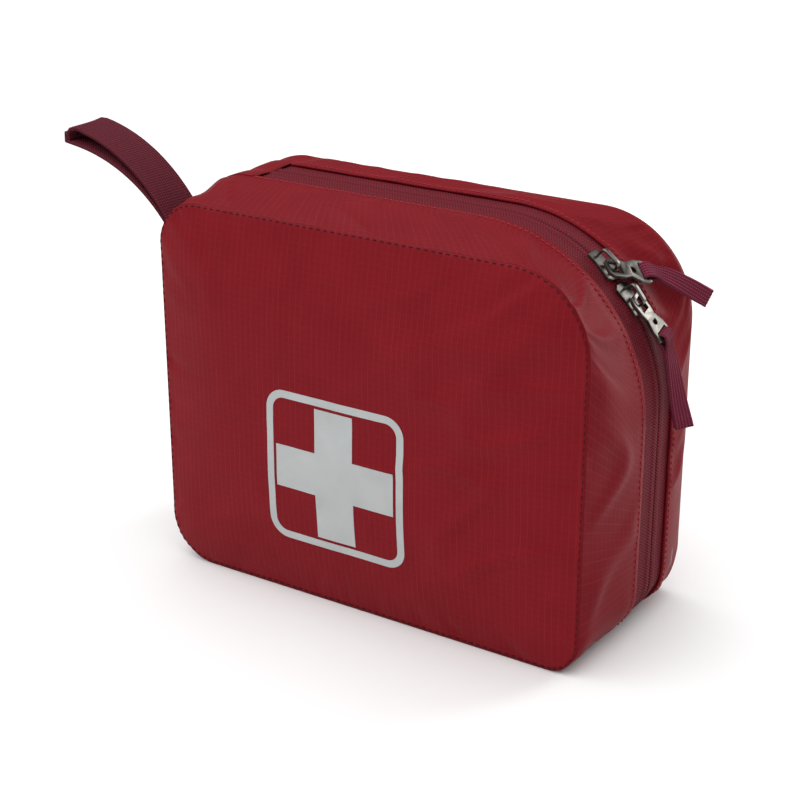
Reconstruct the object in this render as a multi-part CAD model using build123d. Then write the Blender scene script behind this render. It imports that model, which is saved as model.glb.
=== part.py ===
"""Travel first aid kit: a boxy ripstop pouch that unzips like a book, and what it carries.

Millimetres. +X is the pouch's right, -Y its front, +Z up. The origin is on the base, in the middle
of the front gusset's flat band, which it stands on; the shapes are drawn with Y from the mid depth.
The zip runs along the top, the right side and the base, and the left side is the fabric hinge.
"""

from build123d import *
from math import cos, degrees, radians, sin
import os

# ---- pouch ---------------------------------------------------------------------------------
POUCH_WIDTH = 193.0  # across the zip, the widest section
POUCH_HEIGHT = 152.0
POUCH_DEPTH = 80.0  # front seam to back seam
FABRIC_WALL = 1.2  # ripstop shell, foam and lining together
FRONT_DRAW_IN = 4.0  # how much narrower each side is at the front seam than at the zip
FRONT_TOP_DROP = 2.4
BACK_DRAW_IN = 3.0
BACK_TOP_DROP = 1.5
FRONT_CROWN = 6.0  # how far the stuffed front panel bulges
BACK_CROWN = 5.0
CROWN_SHOULDER = 12.0  # seam to where the bulge is nearly full
CROWN_PLATEAU = 24.0  # seam to the flat middle of the bulge
SHOULDER_SHARE = 0.7  # share of the bulge reached at the shoulder
CORNER_TOP_LEFT = 19.0
CORNER_ZIP_RIGHT = 66.5  # large sweep that the zip turns through
CORNER_FRONT_RIGHT = 30.0
CORNER_BACK_RIGHT = 39.0
CORNER_BOTTOM = 20.0
CORNER_FRONT_BOTTOM_RIGHT = 13.0
FLAT_BAND = 6.0  # straight band of gusset beside the zip

# ---- zip -----------------------------------------------------------------------------------
ZIP_LINE = 9.0  # where the coils meet, behind the pouch's middle plane
FRONT_TAPE_SHOWN = 12.5  # tape seen in front of the coils
BACK_TAPE_SHOWN = 10.0
TAPE_THICK = 0.9
TAPE_UNDERLAP = 4.5  # tape sewn under the gusset
TAPE_GAP = 1.2  # between the two tapes, where the slider's post runs
COIL_WIDE = 2.5
COIL_THICK = 1.6
ZIP_START = 75.0  # the zip's two ends, left of the middle
SPINE_GAP = 0.3
HINGE_OUT = 0.5  # fabric hinge line outside the spine

# ---- sliders and pulls ---------------------------------------------------------------------
UPPER_SLIDER_ANGLE = 38.5  # round the corner sweep, from its top
SLIDER_SPACE = 1.8  # between the two sliders, nose to nose
SLIDER_LONG = 13.0
SLIDER_WIDE = 9.2
SLIDER_TAIL_WIDE = 6.0
SLIDER_PLATE = 1.2
SLIDER_CLEAR = 0.15
COIL_CLEAR = 0.5
POST_LONG = 6.0
POST_THICK = 0.8
CROWN_LONG = 9.0
CROWN_THICK = 1.4
CROWN_HIGH = 5.0
CROWN_BAR = 1.0
CROWN_LEG = 1.3
TAB_THICK = 1.3
TAB_RING_HOLE = 5.6
TAB_RING_WALL = 1.2
TAB_LONG = 14.6  # from the crown's leg to the tab's end
TAB_END_BAR = 1.4
TAB_SLOT = 2.0
TAPE_WIDE = 7.0  # pull webbing
TAB_SIDE_CLEAR = 0.25
TAB_CHEEK = 1.2
D_HOLE = 3.0
UPPER_TAB_TURN = 60.0  # swung from the zip's direction towards the back
LOWER_TAB_TURN = 12.0
UPPER_TAB_LIFT = 4.0
LOWER_TAB_LIFT = 0.0
PULL_PLY = 0.9
PULL_LOOP_CLEAR = 0.35
UPPER_PULL_LONG = 25.0
LOWER_PULL_LONG = 35.0
UPPER_PULL_LIFT = 11.0
LOWER_PULL_LIFT = -24.0
UPPER_PULL_SKEW = -20.0
LOWER_PULL_SKEW = -8.0

# ---- carry loop ----------------------------------------------------------------------------
LOOP_WIDE = 20.0
LOOP_BACK_EDGE = -12.0
LOOP_PLY = 1.3
LOOP_GAP = 2.4
LOOP_BASE_GAP = 0.3
LOOP_ROOT = (-96.6, 138.0)
LOOP_TIP = (-144.0, 166.0)
LOOP_BOW = 5.0

# ---- print ---------------------------------------------------------------------------------
PRINT_THICK = 0.3
PRINT_CENTRE = (-8.0, 55.5)
PRINT_SIZE = 61.0
PRINT_STROKE = 3.0
PRINT_CORNER = 8.0
CROSS_SPAN = 52.5
CROSS_ARM = 17.0

# ---- inside --------------------------------------------------------------------------------
LINING_CLEAR = 0.3
BINDING_WIDE = 3.5
BINDING_THICK = 1.6
SHEET_THICK = 0.6
MESH_POCKET_Y = 3.0
MESH_POCKET_TOP = 96.0
MESH_HEM = 8.0
ORGANIZER_Y = 30.0
ORGANIZER_TOP = 128.0
SLEEVE_Y = 15.0
SLEEVE_TOP = 62.0
SLEEVE_RIGHT = -4.0
ELASTIC_WIDE = 12.0
ELASTIC_THICK = 0.8

BANDAGE_DIAMETER = 35.0
ROLL_GAP = 3.0
GAUZE_DIAMETER = 31.0
GAUZE_LONG = 76.0
PLASTER_ROLL_DIAMETER = 46.0
PLASTER_ROLL_WIDE = 25.0
PLASTER_CORE_DIAMETER = 26.0
PLASTER_CORE_WALL = 1.5
GLOVE_PACK = (86.0, 6.5, 58.0)
BLANKET_PACK = (112.0, 5.5, 72.0)
DRESSING_THICK = 5.0
DRESSING_HIGH = 56.0
DRESSING_SIDE = 6.0  # from the sleeve's side
DRESSING_COUNT = 2
PLASTER_BOX = (40.0, 11.0, 52.0)
SCISSOR_PIVOT = (24.0, 66.0)
SCISSOR_BLADE = 52.0
SCISSOR_HANDLE = 44.0
SCISSOR_STEEL = 1.5
SCISSOR_Y = 25.4
SCISSOR_RIVET = 5.0
TWEEZER_LONG = 92.0
TWEEZER_IN = 22.5  # from the pouch's side
TWEEZER_LOW = 24.0

# ---- worked out ----------------------------------------------------------------------------
HALF_WIDTH = POUCH_WIDTH / 2
FRONT_SEAM = -POUCH_DEPTH / 2
BACK_SEAM = POUCH_DEPTH / 2
FRONT_EDGE = ZIP_LINE - FRONT_TAPE_SHOWN
BACK_EDGE = ZIP_LINE + BACK_TAPE_SHOWN
STANDING_LINE = FRONT_EDGE - FLAT_BAND / 2
SWEEP_X = HALF_WIDTH - CORNER_ZIP_RIGHT
SWEEP_Z = POUCH_HEIGHT - CORNER_ZIP_RIGHT
TAPE_OUT = CORNER_ZIP_RIGHT - FABRIC_WALL
TAPE_IN = FABRIC_WALL + TAPE_THICK
COIL_IN = TAPE_IN + COIL_THICK
LOWER_SLIDER_ANGLE = UPPER_SLIDER_ANGLE + degrees((SLIDER_LONG + SLIDER_SPACE) / TAPE_OUT)
PLASTER_ROLL_X = HALF_WIDTH - CORNER_BOTTOM - PLASTER_ROLL_DIAMETER / 4
TWEEZER_AT = (HALF_WIDTH - TWEEZER_IN, TWEEZER_LOW)


class Outline:
    """A rounded rectangle in a plane of constant Y, with its own radius at each corner."""

    def __init__(self, half, top, top_left, top_right, bottom_right, bottom_left):
        self.half = half
        self.top = top
        self.radii = (top_left, top_right, bottom_right, bottom_left)


ZIP_OUTLINE = Outline(
    HALF_WIDTH, POUCH_HEIGHT, CORNER_TOP_LEFT, CORNER_ZIP_RIGHT, CORNER_BOTTOM, CORNER_BOTTOM
)
FRONT_OUTLINE = Outline(
    HALF_WIDTH - FRONT_DRAW_IN,
    POUCH_HEIGHT - FRONT_TOP_DROP,
    CORNER_TOP_LEFT,
    CORNER_FRONT_RIGHT,
    CORNER_FRONT_BOTTOM_RIGHT,
    CORNER_BOTTOM,
)
BACK_OUTLINE = Outline(
    HALF_WIDTH - BACK_DRAW_IN,
    POUCH_HEIGHT - BACK_TOP_DROP,
    CORNER_TOP_LEFT,
    CORNER_BACK_RIGHT,
    CORNER_BOTTOM,
    CORNER_BOTTOM,
)


def ring_wire(outline, y, inset=0.0, keep_radii=False):
    """The outline at depth y, drawn in by inset, always as four lines and four arcs."""
    left, right = -outline.half + inset, outline.half - inset
    low, high = inset, outline.top - inset
    cut = 0.0 if keep_radii else inset
    tl, tr, br, bl = (max(r - cut, 0.5) for r in outline.radii)
    diagonal = 1 - cos(radians(45))

    def at(x, z):
        return Vector(x, y, z)

    edges = [
        Edge.make_line(at(left + tl, high), at(right - tr, high)),
        Edge.make_three_point_arc(
            at(right - tr, high),
            at(right - tr * diagonal, high - tr * diagonal),
            at(right, high - tr),
        ),
        Edge.make_line(at(right, high - tr), at(right, low + br)),
        Edge.make_three_point_arc(
            at(right, low + br), at(right - br * diagonal, low + br * diagonal), at(right - br, low)
        ),
        Edge.make_line(at(right - br, low), at(left + bl, low)),
        Edge.make_three_point_arc(
            at(left + bl, low), at(left + bl * diagonal, low + bl * diagonal), at(left, low + bl)
        ),
        Edge.make_line(at(left, low + bl), at(left, high - tl)),
        Edge.make_three_point_arc(
            at(left, high - tl), at(left + tl * diagonal, high - tl * diagonal), at(left + tl, high)
        ),
    ]
    return Wire(edges)


def hull(*wires):
    return Solid.make_loft(list(wires), ruled=True)


def band(outline, y_front, y_back, outer, inner):
    """A hoop that follows the outline between two insets and two depths."""
    outside = hull(ring_wire(outline, y_front, outer), ring_wire(outline, y_back, outer))
    inside = hull(ring_wire(outline, y_front, inner), ring_wire(outline, y_back, inner))
    return outside - inside


def block(x_range, y_range, z_range):
    """A box from its limits along each axis."""
    size = [r[1] - r[0] for r in (x_range, y_range, z_range)]
    middle = [(r[0] + r[1]) / 2 for r in (x_range, y_range, z_range)]
    return Pos(*middle) * Box(*size)


def left_of_zip():
    """The region of the spine, left of the zip's two ends."""
    return block((-2 * POUCH_WIDTH, -ZIP_START), (-POUCH_WIDTH, POUCH_WIDTH), (-50, 2 * POUCH_HEIGHT))


# ---- shells --------------------------------------------------------------------------------
def crowned_panel(outline, seam, crown, outward):
    """A panel that bulges outward from its seam to a flat middle, one fabric wall thick."""
    shoulder = seam + outward * crown * SHOULDER_SHARE
    middle = seam + outward * crown

    def bulge(shift):
        return hull(
            ring_wire(outline, seam + shift),
            ring_wire(outline, shoulder + shift, CROWN_SHOULDER, keep_radii=True),
            ring_wire(outline, middle + shift, CROWN_PLATEAU, keep_radii=True),
        )

    return bulge(0) - bulge(-outward * FABRIC_WALL)


def gusset_space(outline, seam, edge, inset):
    """The volume inside a gusset from its seam to the zip, drawn in by inset."""
    flat = edge + (FLAT_BAND if seam > edge else -FLAT_BAND)
    return hull(
        ring_wire(outline, seam, inset),
        ring_wire(ZIP_OUTLINE, flat, inset),
        ring_wire(ZIP_OUTLINE, edge, inset),
    )


def gusset(outline, seam, edge):
    return gusset_space(outline, seam, edge, 0) - gusset_space(outline, seam, edge, FABRIC_WALL)


def seam_binding(outline, seam, edge):
    """Bias tape over the raw seam allowance, inside the corner of panel and gusset."""
    outer = FABRIC_WALL + LINING_CLEAR
    hoop = gusset_space(outline, seam, edge, outer) - gusset_space(outline, seam, edge, outer + BINDING_THICK)
    inward = 1 if edge > seam else -1
    y_range = sorted((seam + inward * LINING_CLEAR, seam + inward * (LINING_CLEAR + BINDING_WIDE)))
    return hoop & block((-POUCH_WIDTH, POUCH_WIDTH), y_range, (-POUCH_HEIGHT, 2 * POUCH_HEIGHT))


def zip_half(y_front, y_back, outer, inner):
    return band(ZIP_OUTLINE, y_front, y_back, outer, inner) - left_of_zip()


def spine(y_front, y_back):
    return band(ZIP_OUTLINE, y_front, y_back, 0, FABRIC_WALL) & left_of_zip()


# ---- slider, worked out at the top of the corner sweep ---------------------------------------
# Local frame: +X along the zip, +Y to the pouch's back, +Z outward, origin on the tape's face.
def on_zip(shape, angle):
    """Carry a shape from the slider's local frame to its place round the corner sweep."""
    centre = Pos(SWEEP_X, ZIP_LINE, SWEEP_Z)
    return centre * Rot(0, angle, 0) * Pos(0, 0, TAPE_OUT) * shape


def slider_plan(half_tail, half_shoulder, z_low, z_high):
    """Slider plate: narrow where the coils are closed, wide where they part."""
    end = SLIDER_LONG / 2
    nose = end - half_shoulder * 0.35
    plan = Polyline(
        (-end, -half_tail),
        (-end / 3, -half_tail * 1.05),
        (nose, -half_shoulder),
        (end, -half_shoulder * 0.62),
        (end, half_shoulder * 0.62),
        (nose, half_shoulder),
        (-end / 3, half_tail * 1.05),
        (-end, half_tail),
        close=True,
    )
    face = make_face(plan.edges())
    face = fillet(face.vertices(), 0.7)
    return Pos(0, 0, z_low) * extrude(face, z_high - z_low)


def slider_body(shoulder_side):
    """Top and bottom plates joined by the post that parts the coils."""
    under = -TAPE_THICK - COIL_THICK - COIL_CLEAR
    top = slider_plan(SLIDER_TAIL_WIDE / 2, SLIDER_WIDE / 2, SLIDER_CLEAR, SLIDER_CLEAR + SLIDER_PLATE)
    bottom = slider_plan(
        SLIDER_TAIL_WIDE / 2 - 0.4, SLIDER_WIDE / 2 - 0.5, under - SLIDER_PLATE, under
    )
    post_end = SLIDER_LONG / 2 - 1.0
    post = block(
        (post_end - POST_LONG, post_end),
        (-POST_THICK / 2, POST_THICK / 2),
        (under - 0.1, SLIDER_CLEAR + 0.1),
    )
    body = top + bottom + post
    return body if shoulder_side > 0 else Rot(0, 0, 180) * body


def slider_crown():
    """The arch on the slider that carries the pull tab."""
    base = SLIDER_CLEAR + SLIDER_PLATE
    outer = Pos(0, 0, base + CROWN_HIGH / 2) * Box(CROWN_LONG, CROWN_THICK, CROWN_HIGH)
    outer = fillet(outer.edges().filter_by(Axis.Y).group_by(Axis.Z)[-1], 1.1)
    hole_high = CROWN_HIGH - CROWN_BAR
    hole = Pos(0, 0, base + hole_high / 2) * Box(
        CROWN_LONG - 2 * CROWN_LEG, 2 * CROWN_THICK, hole_high
    )
    return outer - hole


def tab_height():
    """Middle of the space under the arch, where the tab's ring lies."""
    return SLIDER_CLEAR + SLIDER_PLATE + (CROWN_HIGH - CROWN_BAR) / 2


def on_crown(shape, turn, lift):
    """Carry a shape from the tab's frame (+X along the tab, from the crown's leg) to the slider's."""
    leg = CROWN_LONG / 2 - CROWN_LEG / 2
    return Pos(leg, 0, tab_height()) * Rot(0, 0, turn) * Rot(0, -lift, 0) * shape


def pull_tab():
    """Flat cast tab: a ring round the crown's leg, a D hole, and a slot for the webbing."""
    ring_out = TAB_RING_HOLE / 2 + TAB_RING_WALL
    end_half = TAPE_WIDE / 2 + TAB_SIDE_CLEAR + TAB_CHEEK
    waist = ring_out * 0.8
    ring_end = TAB_RING_HOLE / 2 + TAB_RING_WALL
    slot_end = TAB_LONG - TAB_END_BAR
    slot_start = slot_end - TAB_SLOT
    plan = Polyline(
        (-ring_end, -ring_out * 0.7),
        (-ring_end * 0.5, -ring_out),
        (ring_end * 0.7, -ring_out),
        (ring_end * 1.4, -waist),
        (slot_start - 1.5, -end_half),
        (TAB_LONG, -end_half),
        (TAB_LONG, end_half),
        (slot_start - 1.5, end_half),
        (ring_end * 1.4, waist),
        (ring_end * 0.7, ring_out),
        (-ring_end * 0.5, ring_out),
        (-ring_end, ring_out * 0.7),
        close=True,
    )
    face = fillet(make_face(plan.edges()).vertices(), 0.7)
    tab = Pos(0, 0, -TAB_THICK / 2) * extrude(face, TAB_THICK)
    tab -= Box(TAB_RING_HOLE, TAB_RING_HOLE * 0.9, 2 * TAB_THICK)
    d_centre = (ring_end + slot_start) / 2
    d_hole = Pos(d_centre, 0, 0) * Cylinder(D_HOLE / 2, 2 * TAB_THICK)
    tab -= d_hole & block((d_centre - D_HOLE / 4, TAB_LONG), (-D_HOLE, D_HOLE), (-D_HOLE, D_HOLE))
    slot_half = TAPE_WIDE / 2 + TAB_SIDE_CLEAR
    tab -= block((slot_start, slot_end), (-slot_half, slot_half), (-TAB_THICK, TAB_THICK))
    return tab


def tab_bar():
    """Distance from the crown's leg to the middle of the tab's end bar."""
    return TAB_LONG - TAB_END_BAR / 2


def pull_webbing(length, skew):
    """Webbing looped round the tab's end bar, its two plies sewn together, from the bar's middle."""
    hole = TAB_END_BAR / 2 + PULL_LOOP_CLEAR
    loop = hole + PULL_PLY
    neck = loop * 2.4
    half = TAPE_WIDE / 2
    ring = Rot(90, 0, 0) * Cylinder(loop, TAPE_WIDE)
    wedge = Polyline(
        (0, -loop), (neck, -PULL_PLY), (neck, PULL_PLY), (0, loop), close=True
    )
    throat = Pos(0, half, 0) * Rot(90, 0, 0) * extrude(make_face(wedge.edges()), TAPE_WIDE)
    ring = ring + throat
    ring -= Rot(90, 0, 0) * Cylinder(hole, 2 * TAPE_WIDE)
    drift = (length - neck) * sin(radians(skew))
    reach = neck + (length - neck) * cos(radians(skew))
    tail = Polyline(
        (neck, -half), (reach, drift - half), (reach, drift + half), (neck, half), close=True
    )
    return ring + Pos(0, 0, -PULL_PLY) * extrude(make_face(tail.edges()), 2 * PULL_PLY)


def on_tab(shape, turn, tab_lift, lift):
    """Carry the webbing from its own frame to the slider's; lift turns it outward round the bar."""
    return on_crown(Pos(tab_bar(), 0, 0) * Rot(0, -lift, 0) * shape, turn, tab_lift)


# ---- carry loop ----------------------------------------------------------------------------
def carry_loop():
    """Folded webbing that springs up from the left gusset, its plies parting towards the fold."""
    root = Vector(LOOP_ROOT[0], 0, LOOP_ROOT[1])
    tip = Vector(LOOP_TIP[0], 0, LOOP_TIP[1])
    along = (tip - root).normalized()
    across = Vector(-along.Z, 0, along.X)
    if across.Z < 0:
        across = -across
    middle = (root + tip) * 0.5 + across * LOOP_BOW

    def leaf(inward):
        """Closed outline of the folded loop, drawn in by inward."""
        spread = [LOOP_BASE_GAP / 2, LOOP_GAP / 3, LOOP_GAP]
        half = [s + LOOP_PLY - inward for s in spread]
        start = root + along * inward
        fold = tip - along * (LOOP_GAP + LOOP_PLY)
        up = [start + across * half[0], middle + across * half[1], fold + across * half[2]]
        down = [start - across * half[0], middle - across * half[1], fold - across * half[2]]
        nose = fold + along * half[2]
        edges = [
            Edge.make_three_point_arc(*up),
            Edge.make_three_point_arc(up[2], nose, down[2]),
            Edge.make_three_point_arc(down[2], down[1], down[0]),
            Edge.make_line(down[0], up[0]),
        ]
        return Face(Wire(edges))

    profile = leaf(0) - leaf(LOOP_PLY)
    return Pos(0, LOOP_BACK_EDGE - LOOP_WIDE, 0) * extrude(profile, LOOP_WIDE, dir=(0, 1, 0))


# ---- print ---------------------------------------------------------------------------------
def print_plane():
    face_y = FRONT_SEAM - FRONT_CROWN
    return Plane(origin=(PRINT_CENTRE[0], face_y, PRINT_CENTRE[1]), x_dir=(1, 0, 0), z_dir=(0, -1, 0))


def print_frame():
    outer = RectangleRounded(PRINT_SIZE, PRINT_SIZE, PRINT_CORNER)
    inner_size = PRINT_SIZE - 2 * PRINT_STROKE
    inner = RectangleRounded(inner_size, inner_size, PRINT_CORNER - PRINT_STROKE)
    return extrude(print_plane() * (outer - inner), PRINT_THICK)


def print_cross():
    cross = Rectangle(CROSS_SPAN, CROSS_ARM) + Rectangle(CROSS_ARM, CROSS_SPAN)
    return extrude(print_plane() * cross, PRINT_THICK)


# ---- pockets -------------------------------------------------------------------------------
def room(outline, seam, edge, inset):
    """The space inside one shell, from its seam to the middle of the zip."""
    mouth = hull(ring_wire(ZIP_OUTLINE, edge, inset), ring_wire(ZIP_OUTLINE, ZIP_LINE, inset))
    return gusset_space(outline, seam, edge, inset) + mouth


def front_room():
    return room(FRONT_OUTLINE, FRONT_SEAM, FRONT_EDGE, TAPE_IN)


def back_room(inset):
    return room(BACK_OUTLINE, BACK_SEAM, BACK_EDGE, inset)


def wall_to_wall(room, y_low, y_high, z_low, z_high, x_low=-POUCH_WIDTH, x_high=POUCH_WIDTH):
    return room & block((x_low, x_high), (y_low, y_high), (z_low, z_high))


def mesh_pocket():
    room = front_room()
    return wall_to_wall(room, MESH_POCKET_Y, MESH_POCKET_Y + SHEET_THICK, 0, MESH_POCKET_TOP)


def mesh_hem():
    room = front_room()
    y_low = MESH_POCKET_Y - SHEET_THICK
    return wall_to_wall(room, y_low, y_low + 3 * SHEET_THICK, MESH_POCKET_TOP, MESH_POCKET_TOP + MESH_HEM)


def organizer_panel():
    room = back_room(FABRIC_WALL)
    return wall_to_wall(room, ORGANIZER_Y, ORGANIZER_Y + SHEET_THICK, 0, ORGANIZER_TOP)


def organizer_hem():
    room = back_room(FABRIC_WALL)
    y_low = ORGANIZER_Y - SHEET_THICK
    return wall_to_wall(room, y_low, y_low + 3 * SHEET_THICK, ORGANIZER_TOP, ORGANIZER_TOP + MESH_HEM)


def dressing_sleeve():
    """Clear pocket on the organizer: a face, and a side where it ends at the middle."""
    room = back_room(TAPE_IN)
    face = wall_to_wall(
        room, SLEEVE_Y, SLEEVE_Y + SHEET_THICK, 0, SLEEVE_TOP, x_high=SLEEVE_RIGHT
    )
    side = wall_to_wall(
        room, SLEEVE_Y, ORGANIZER_Y, 0, SLEEVE_TOP, SLEEVE_RIGHT - SHEET_THICK, SLEEVE_RIGHT
    )
    return face + side


def elastic_band(x_low, x_high, y_front, z_middle):
    """A strap sewn to the organizer on both sides of what it holds."""
    z_range = (z_middle - ELASTIC_WIDE / 2, z_middle + ELASTIC_WIDE / 2)
    outer = block((x_low - ELASTIC_THICK, x_high + ELASTIC_THICK), (y_front, ORGANIZER_Y), z_range)
    inner = block(
        (x_low, x_high), (y_front + ELASTIC_THICK, ORGANIZER_Y), (z_range[0] - 1, z_range[1] + 1)
    )
    return outer - inner


# ---- contents ------------------------------------------------------------------------------
def roll(diameter, length, x_start, y, z):
    """A bandage roll lying along X, with eased ends."""
    body = Rot(0, 90, 0) * Cylinder(diameter / 2, length)
    body = fillet(body.edges().filter_by(GeomType.CIRCLE), 1.5)
    return Pos(x_start + length / 2, y, z) * body


def soft_pack(size, x_left, y_front, z_low, corner=4.0):
    """A flat sealed pack, thinner at its rim."""
    wide, thick, high = size
    plane = Plane(origin=(x_left + wide / 2, y_front, z_low + high / 2), x_dir=(1, 0, 0), z_dir=(0, 1, 0))
    middle = Pos(0, thick / 2, 0)
    rim = thick * 0.3
    body = extrude(plane * RectangleRounded(wide, high, corner), thick)
    edge_faces = body.edges().filter_by_position(Axis.Y, y_front - 0.01, y_front + 0.01)
    edge_faces += body.edges().filter_by_position(Axis.Y, y_front + thick - 0.01, y_front + thick + 0.01)
    return chamfer(edge_faces, rim)


def bandage_rolls():
    """Two rolls that fill the base from the left corner to the plaster roll."""
    start = -HALF_WIDTH + CORNER_BOTTOM
    end = PLASTER_ROLL_X - PLASTER_ROLL_DIAMETER / 2 - ROLL_GAP
    long = (end - start - ROLL_GAP) / 2
    z = FABRIC_WALL + LINING_CLEAR + BANDAGE_DIAMETER / 2
    y = MESH_POCKET_Y - LINING_CLEAR - BANDAGE_DIAMETER / 2 - SHEET_THICK
    starts = (start, start + long + ROLL_GAP)
    return Compound([roll(BANDAGE_DIAMETER, long, x, y, z) for x in starts])


def gauze_roll():
    z = FABRIC_WALL + 2 * LINING_CLEAR + BANDAGE_DIAMETER + GAUZE_DIAMETER / 2
    y = MESH_POCKET_Y - LINING_CLEAR - GAUZE_DIAMETER / 2 - SHEET_THICK
    return roll(GAUZE_DIAMETER, GAUZE_LONG, -0.75 * GAUZE_LONG, y, z)


def plaster_roll_place():
    y = MESH_POCKET_Y - LINING_CLEAR - SHEET_THICK - PLASTER_ROLL_WIDE / 2
    z = COIL_IN + LINING_CLEAR + PLASTER_ROLL_DIAMETER / 2
    return Pos(PLASTER_ROLL_X, y, z) * Rot(90, 0, 0)


def plaster_roll():
    ring = Cylinder(PLASTER_ROLL_DIAMETER / 2, PLASTER_ROLL_WIDE) - Cylinder(
        PLASTER_CORE_DIAMETER / 2, 2 * PLASTER_ROLL_WIDE
    )
    return plaster_roll_place() * ring


def plaster_roll_core():
    ring = Cylinder(PLASTER_CORE_DIAMETER / 2, PLASTER_ROLL_WIDE) - Cylinder(
        PLASTER_CORE_DIAMETER / 2 - PLASTER_CORE_WALL, 2 * PLASTER_ROLL_WIDE
    )
    return plaster_roll_place() * ring


def glove_pack():
    return soft_pack(GLOVE_PACK, -GLOVE_PACK[0] / 2, FRONT_SEAM + BINDING_WIDE + 1.5, 76.0)


def blanket_pack():
    y = ORGANIZER_Y + SHEET_THICK + LINING_CLEAR
    return soft_pack(BLANKET_PACK, -BLANKET_PACK[0] / 2, y, FABRIC_WALL + BINDING_WIDE + 1)


def dressing_packs():
    left = -HALF_WIDTH + CORNER_BOTTOM
    size = (SLEEVE_RIGHT - DRESSING_SIDE - left, DRESSING_THICK, DRESSING_HIGH)
    packs = []
    for n in range(DRESSING_COUNT):
        y = SLEEVE_Y + SHEET_THICK + LINING_CLEAR + n * (DRESSING_THICK + LINING_CLEAR)
        packs.append(soft_pack(size, left, y, 5.0 + 3.0 * n, 3.0))
    return Compound(packs)


def plaster_box():
    """Folded card box of adhesive strips, standing behind the elastic."""
    wide, thick, high = PLASTER_BOX
    x = -HALF_WIDTH + CORNER_TOP_LEFT - 8
    y = ORGANIZER_Y - LINING_CLEAR - thick
    return block((x, x + wide), (y, y + thick), (SLEEVE_TOP + 6, SLEEVE_TOP + 6 + high))


def scissor_half():
    """One blade with its finger ring, its tip down and its pivot at the local origin."""
    blade = Polyline(
        (-1.2, -SCISSOR_BLADE), (1.0, -SCISSOR_BLADE), (5.0, -8.0), (5.0, 6.0), (-5.0, 6.0), (-4.0, -8.0),
        close=True,
    )
    shank = Polyline(
        (-5.0, 4.0), (5.0, 4.0), (13.5, SCISSOR_HANDLE - 18), (8.5, SCISSOR_HANDLE - 18), close=True
    )
    plan = make_face(blade.edges()) + make_face(shank.edges())
    plan += Pos(12.5, SCISSOR_HANDLE - 12) * (Ellipse(9.5, 13.0) - Ellipse(6.0, 9.5))
    plan -= Circle(SCISSOR_RIVET / 2)
    return extrude(plan, SCISSOR_STEEL)


def scissor_blade(front):
    """The two halves lie face to face, the front one with its ring to the left."""
    x, z = SCISSOR_PIVOT
    lift = SCISSOR_Y if front else SCISSOR_Y + SCISSOR_STEEL + LINING_CLEAR
    half = Rot(90, 0, 0) * scissor_half()
    if front:
        half = Rot(0, 0, 180) * half
        return Pos(x, lift, z) * half
    return Pos(x, lift + SCISSOR_STEEL, z) * half


def scissor_rivet():
    x, z = SCISSOR_PIVOT
    stack = 2 * SCISSOR_STEEL + LINING_CLEAR
    pin = Cylinder(SCISSOR_RIVET / 2 - 0.15, stack + 0.2)
    heads = Pos(0, 0, stack / 2 + 0.4) * Cylinder(SCISSOR_RIVET / 2 + 1.0, 0.6)
    heads += Pos(0, 0, -stack / 2 - 0.4) * Cylinder(SCISSOR_RIVET / 2 + 1.0, 0.6)
    return Pos(x, SCISSOR_Y + stack / 2, z) * Rot(90, 0, 0) * (pin + heads)


def tweezers():
    """Sprung steel strip folded at its top, its two arms meeting at the tips."""
    x, z = TWEEZER_AT
    thick = 1.0
    arm = Polyline(
        (-0.4 - thick, 0), (-4.2 - thick, TWEEZER_LONG * 0.55), (-1.2 - thick, TWEEZER_LONG),
        (1.2 + thick, TWEEZER_LONG), (4.2 + thick, TWEEZER_LONG * 0.55), (0.4 + thick, 0),
        (0.4, 0), (4.2, TWEEZER_LONG * 0.55), (1.2, TWEEZER_LONG - 3.0),
        (-1.2, TWEEZER_LONG - 3.0), (-4.2, TWEEZER_LONG * 0.55), (-0.4, 0),
        close=True,
    )
    strip = extrude(make_face(arm.edges()), 5.0)
    return Pos(x, ORGANIZER_Y - LINING_CLEAR, z) * Rot(90, 0, 0) * strip


def shell_parts():
    gap = TAPE_GAP / 2
    front_zip = ZIP_LINE - gap
    back_zip = ZIP_LINE + gap
    return {
        "front_panel": crowned_panel(FRONT_OUTLINE, FRONT_SEAM, FRONT_CROWN, -1),
        "front_gusset": gusset(FRONT_OUTLINE, FRONT_SEAM, FRONT_EDGE),
        "front_seam_binding": seam_binding(FRONT_OUTLINE, FRONT_SEAM, FRONT_EDGE),
        "front_zip_tape": zip_half(FRONT_EDGE - TAPE_UNDERLAP, front_zip, FABRIC_WALL, TAPE_IN),
        "front_zip_coil": zip_half(front_zip - COIL_WIDE, front_zip, TAPE_IN, COIL_IN),
        "spine_front": spine(FRONT_EDGE, ZIP_LINE - SPINE_GAP / 2),
        "back_panel": crowned_panel(BACK_OUTLINE, BACK_SEAM, BACK_CROWN, 1),
        "back_gusset": gusset(BACK_OUTLINE, BACK_SEAM, BACK_EDGE),
        "back_seam_binding": seam_binding(BACK_OUTLINE, BACK_SEAM, BACK_EDGE),
        "back_zip_tape": zip_half(back_zip, BACK_EDGE + TAPE_UNDERLAP, FABRIC_WALL, TAPE_IN),
        "back_zip_coil": zip_half(back_zip, back_zip + COIL_WIDE, TAPE_IN, COIL_IN),
        "spine_back": spine(ZIP_LINE + SPINE_GAP / 2, BACK_EDGE),
        "print_frame": print_frame(),
        "print_cross": print_cross(),
        "carry_loop": carry_loop(),
    }


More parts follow.
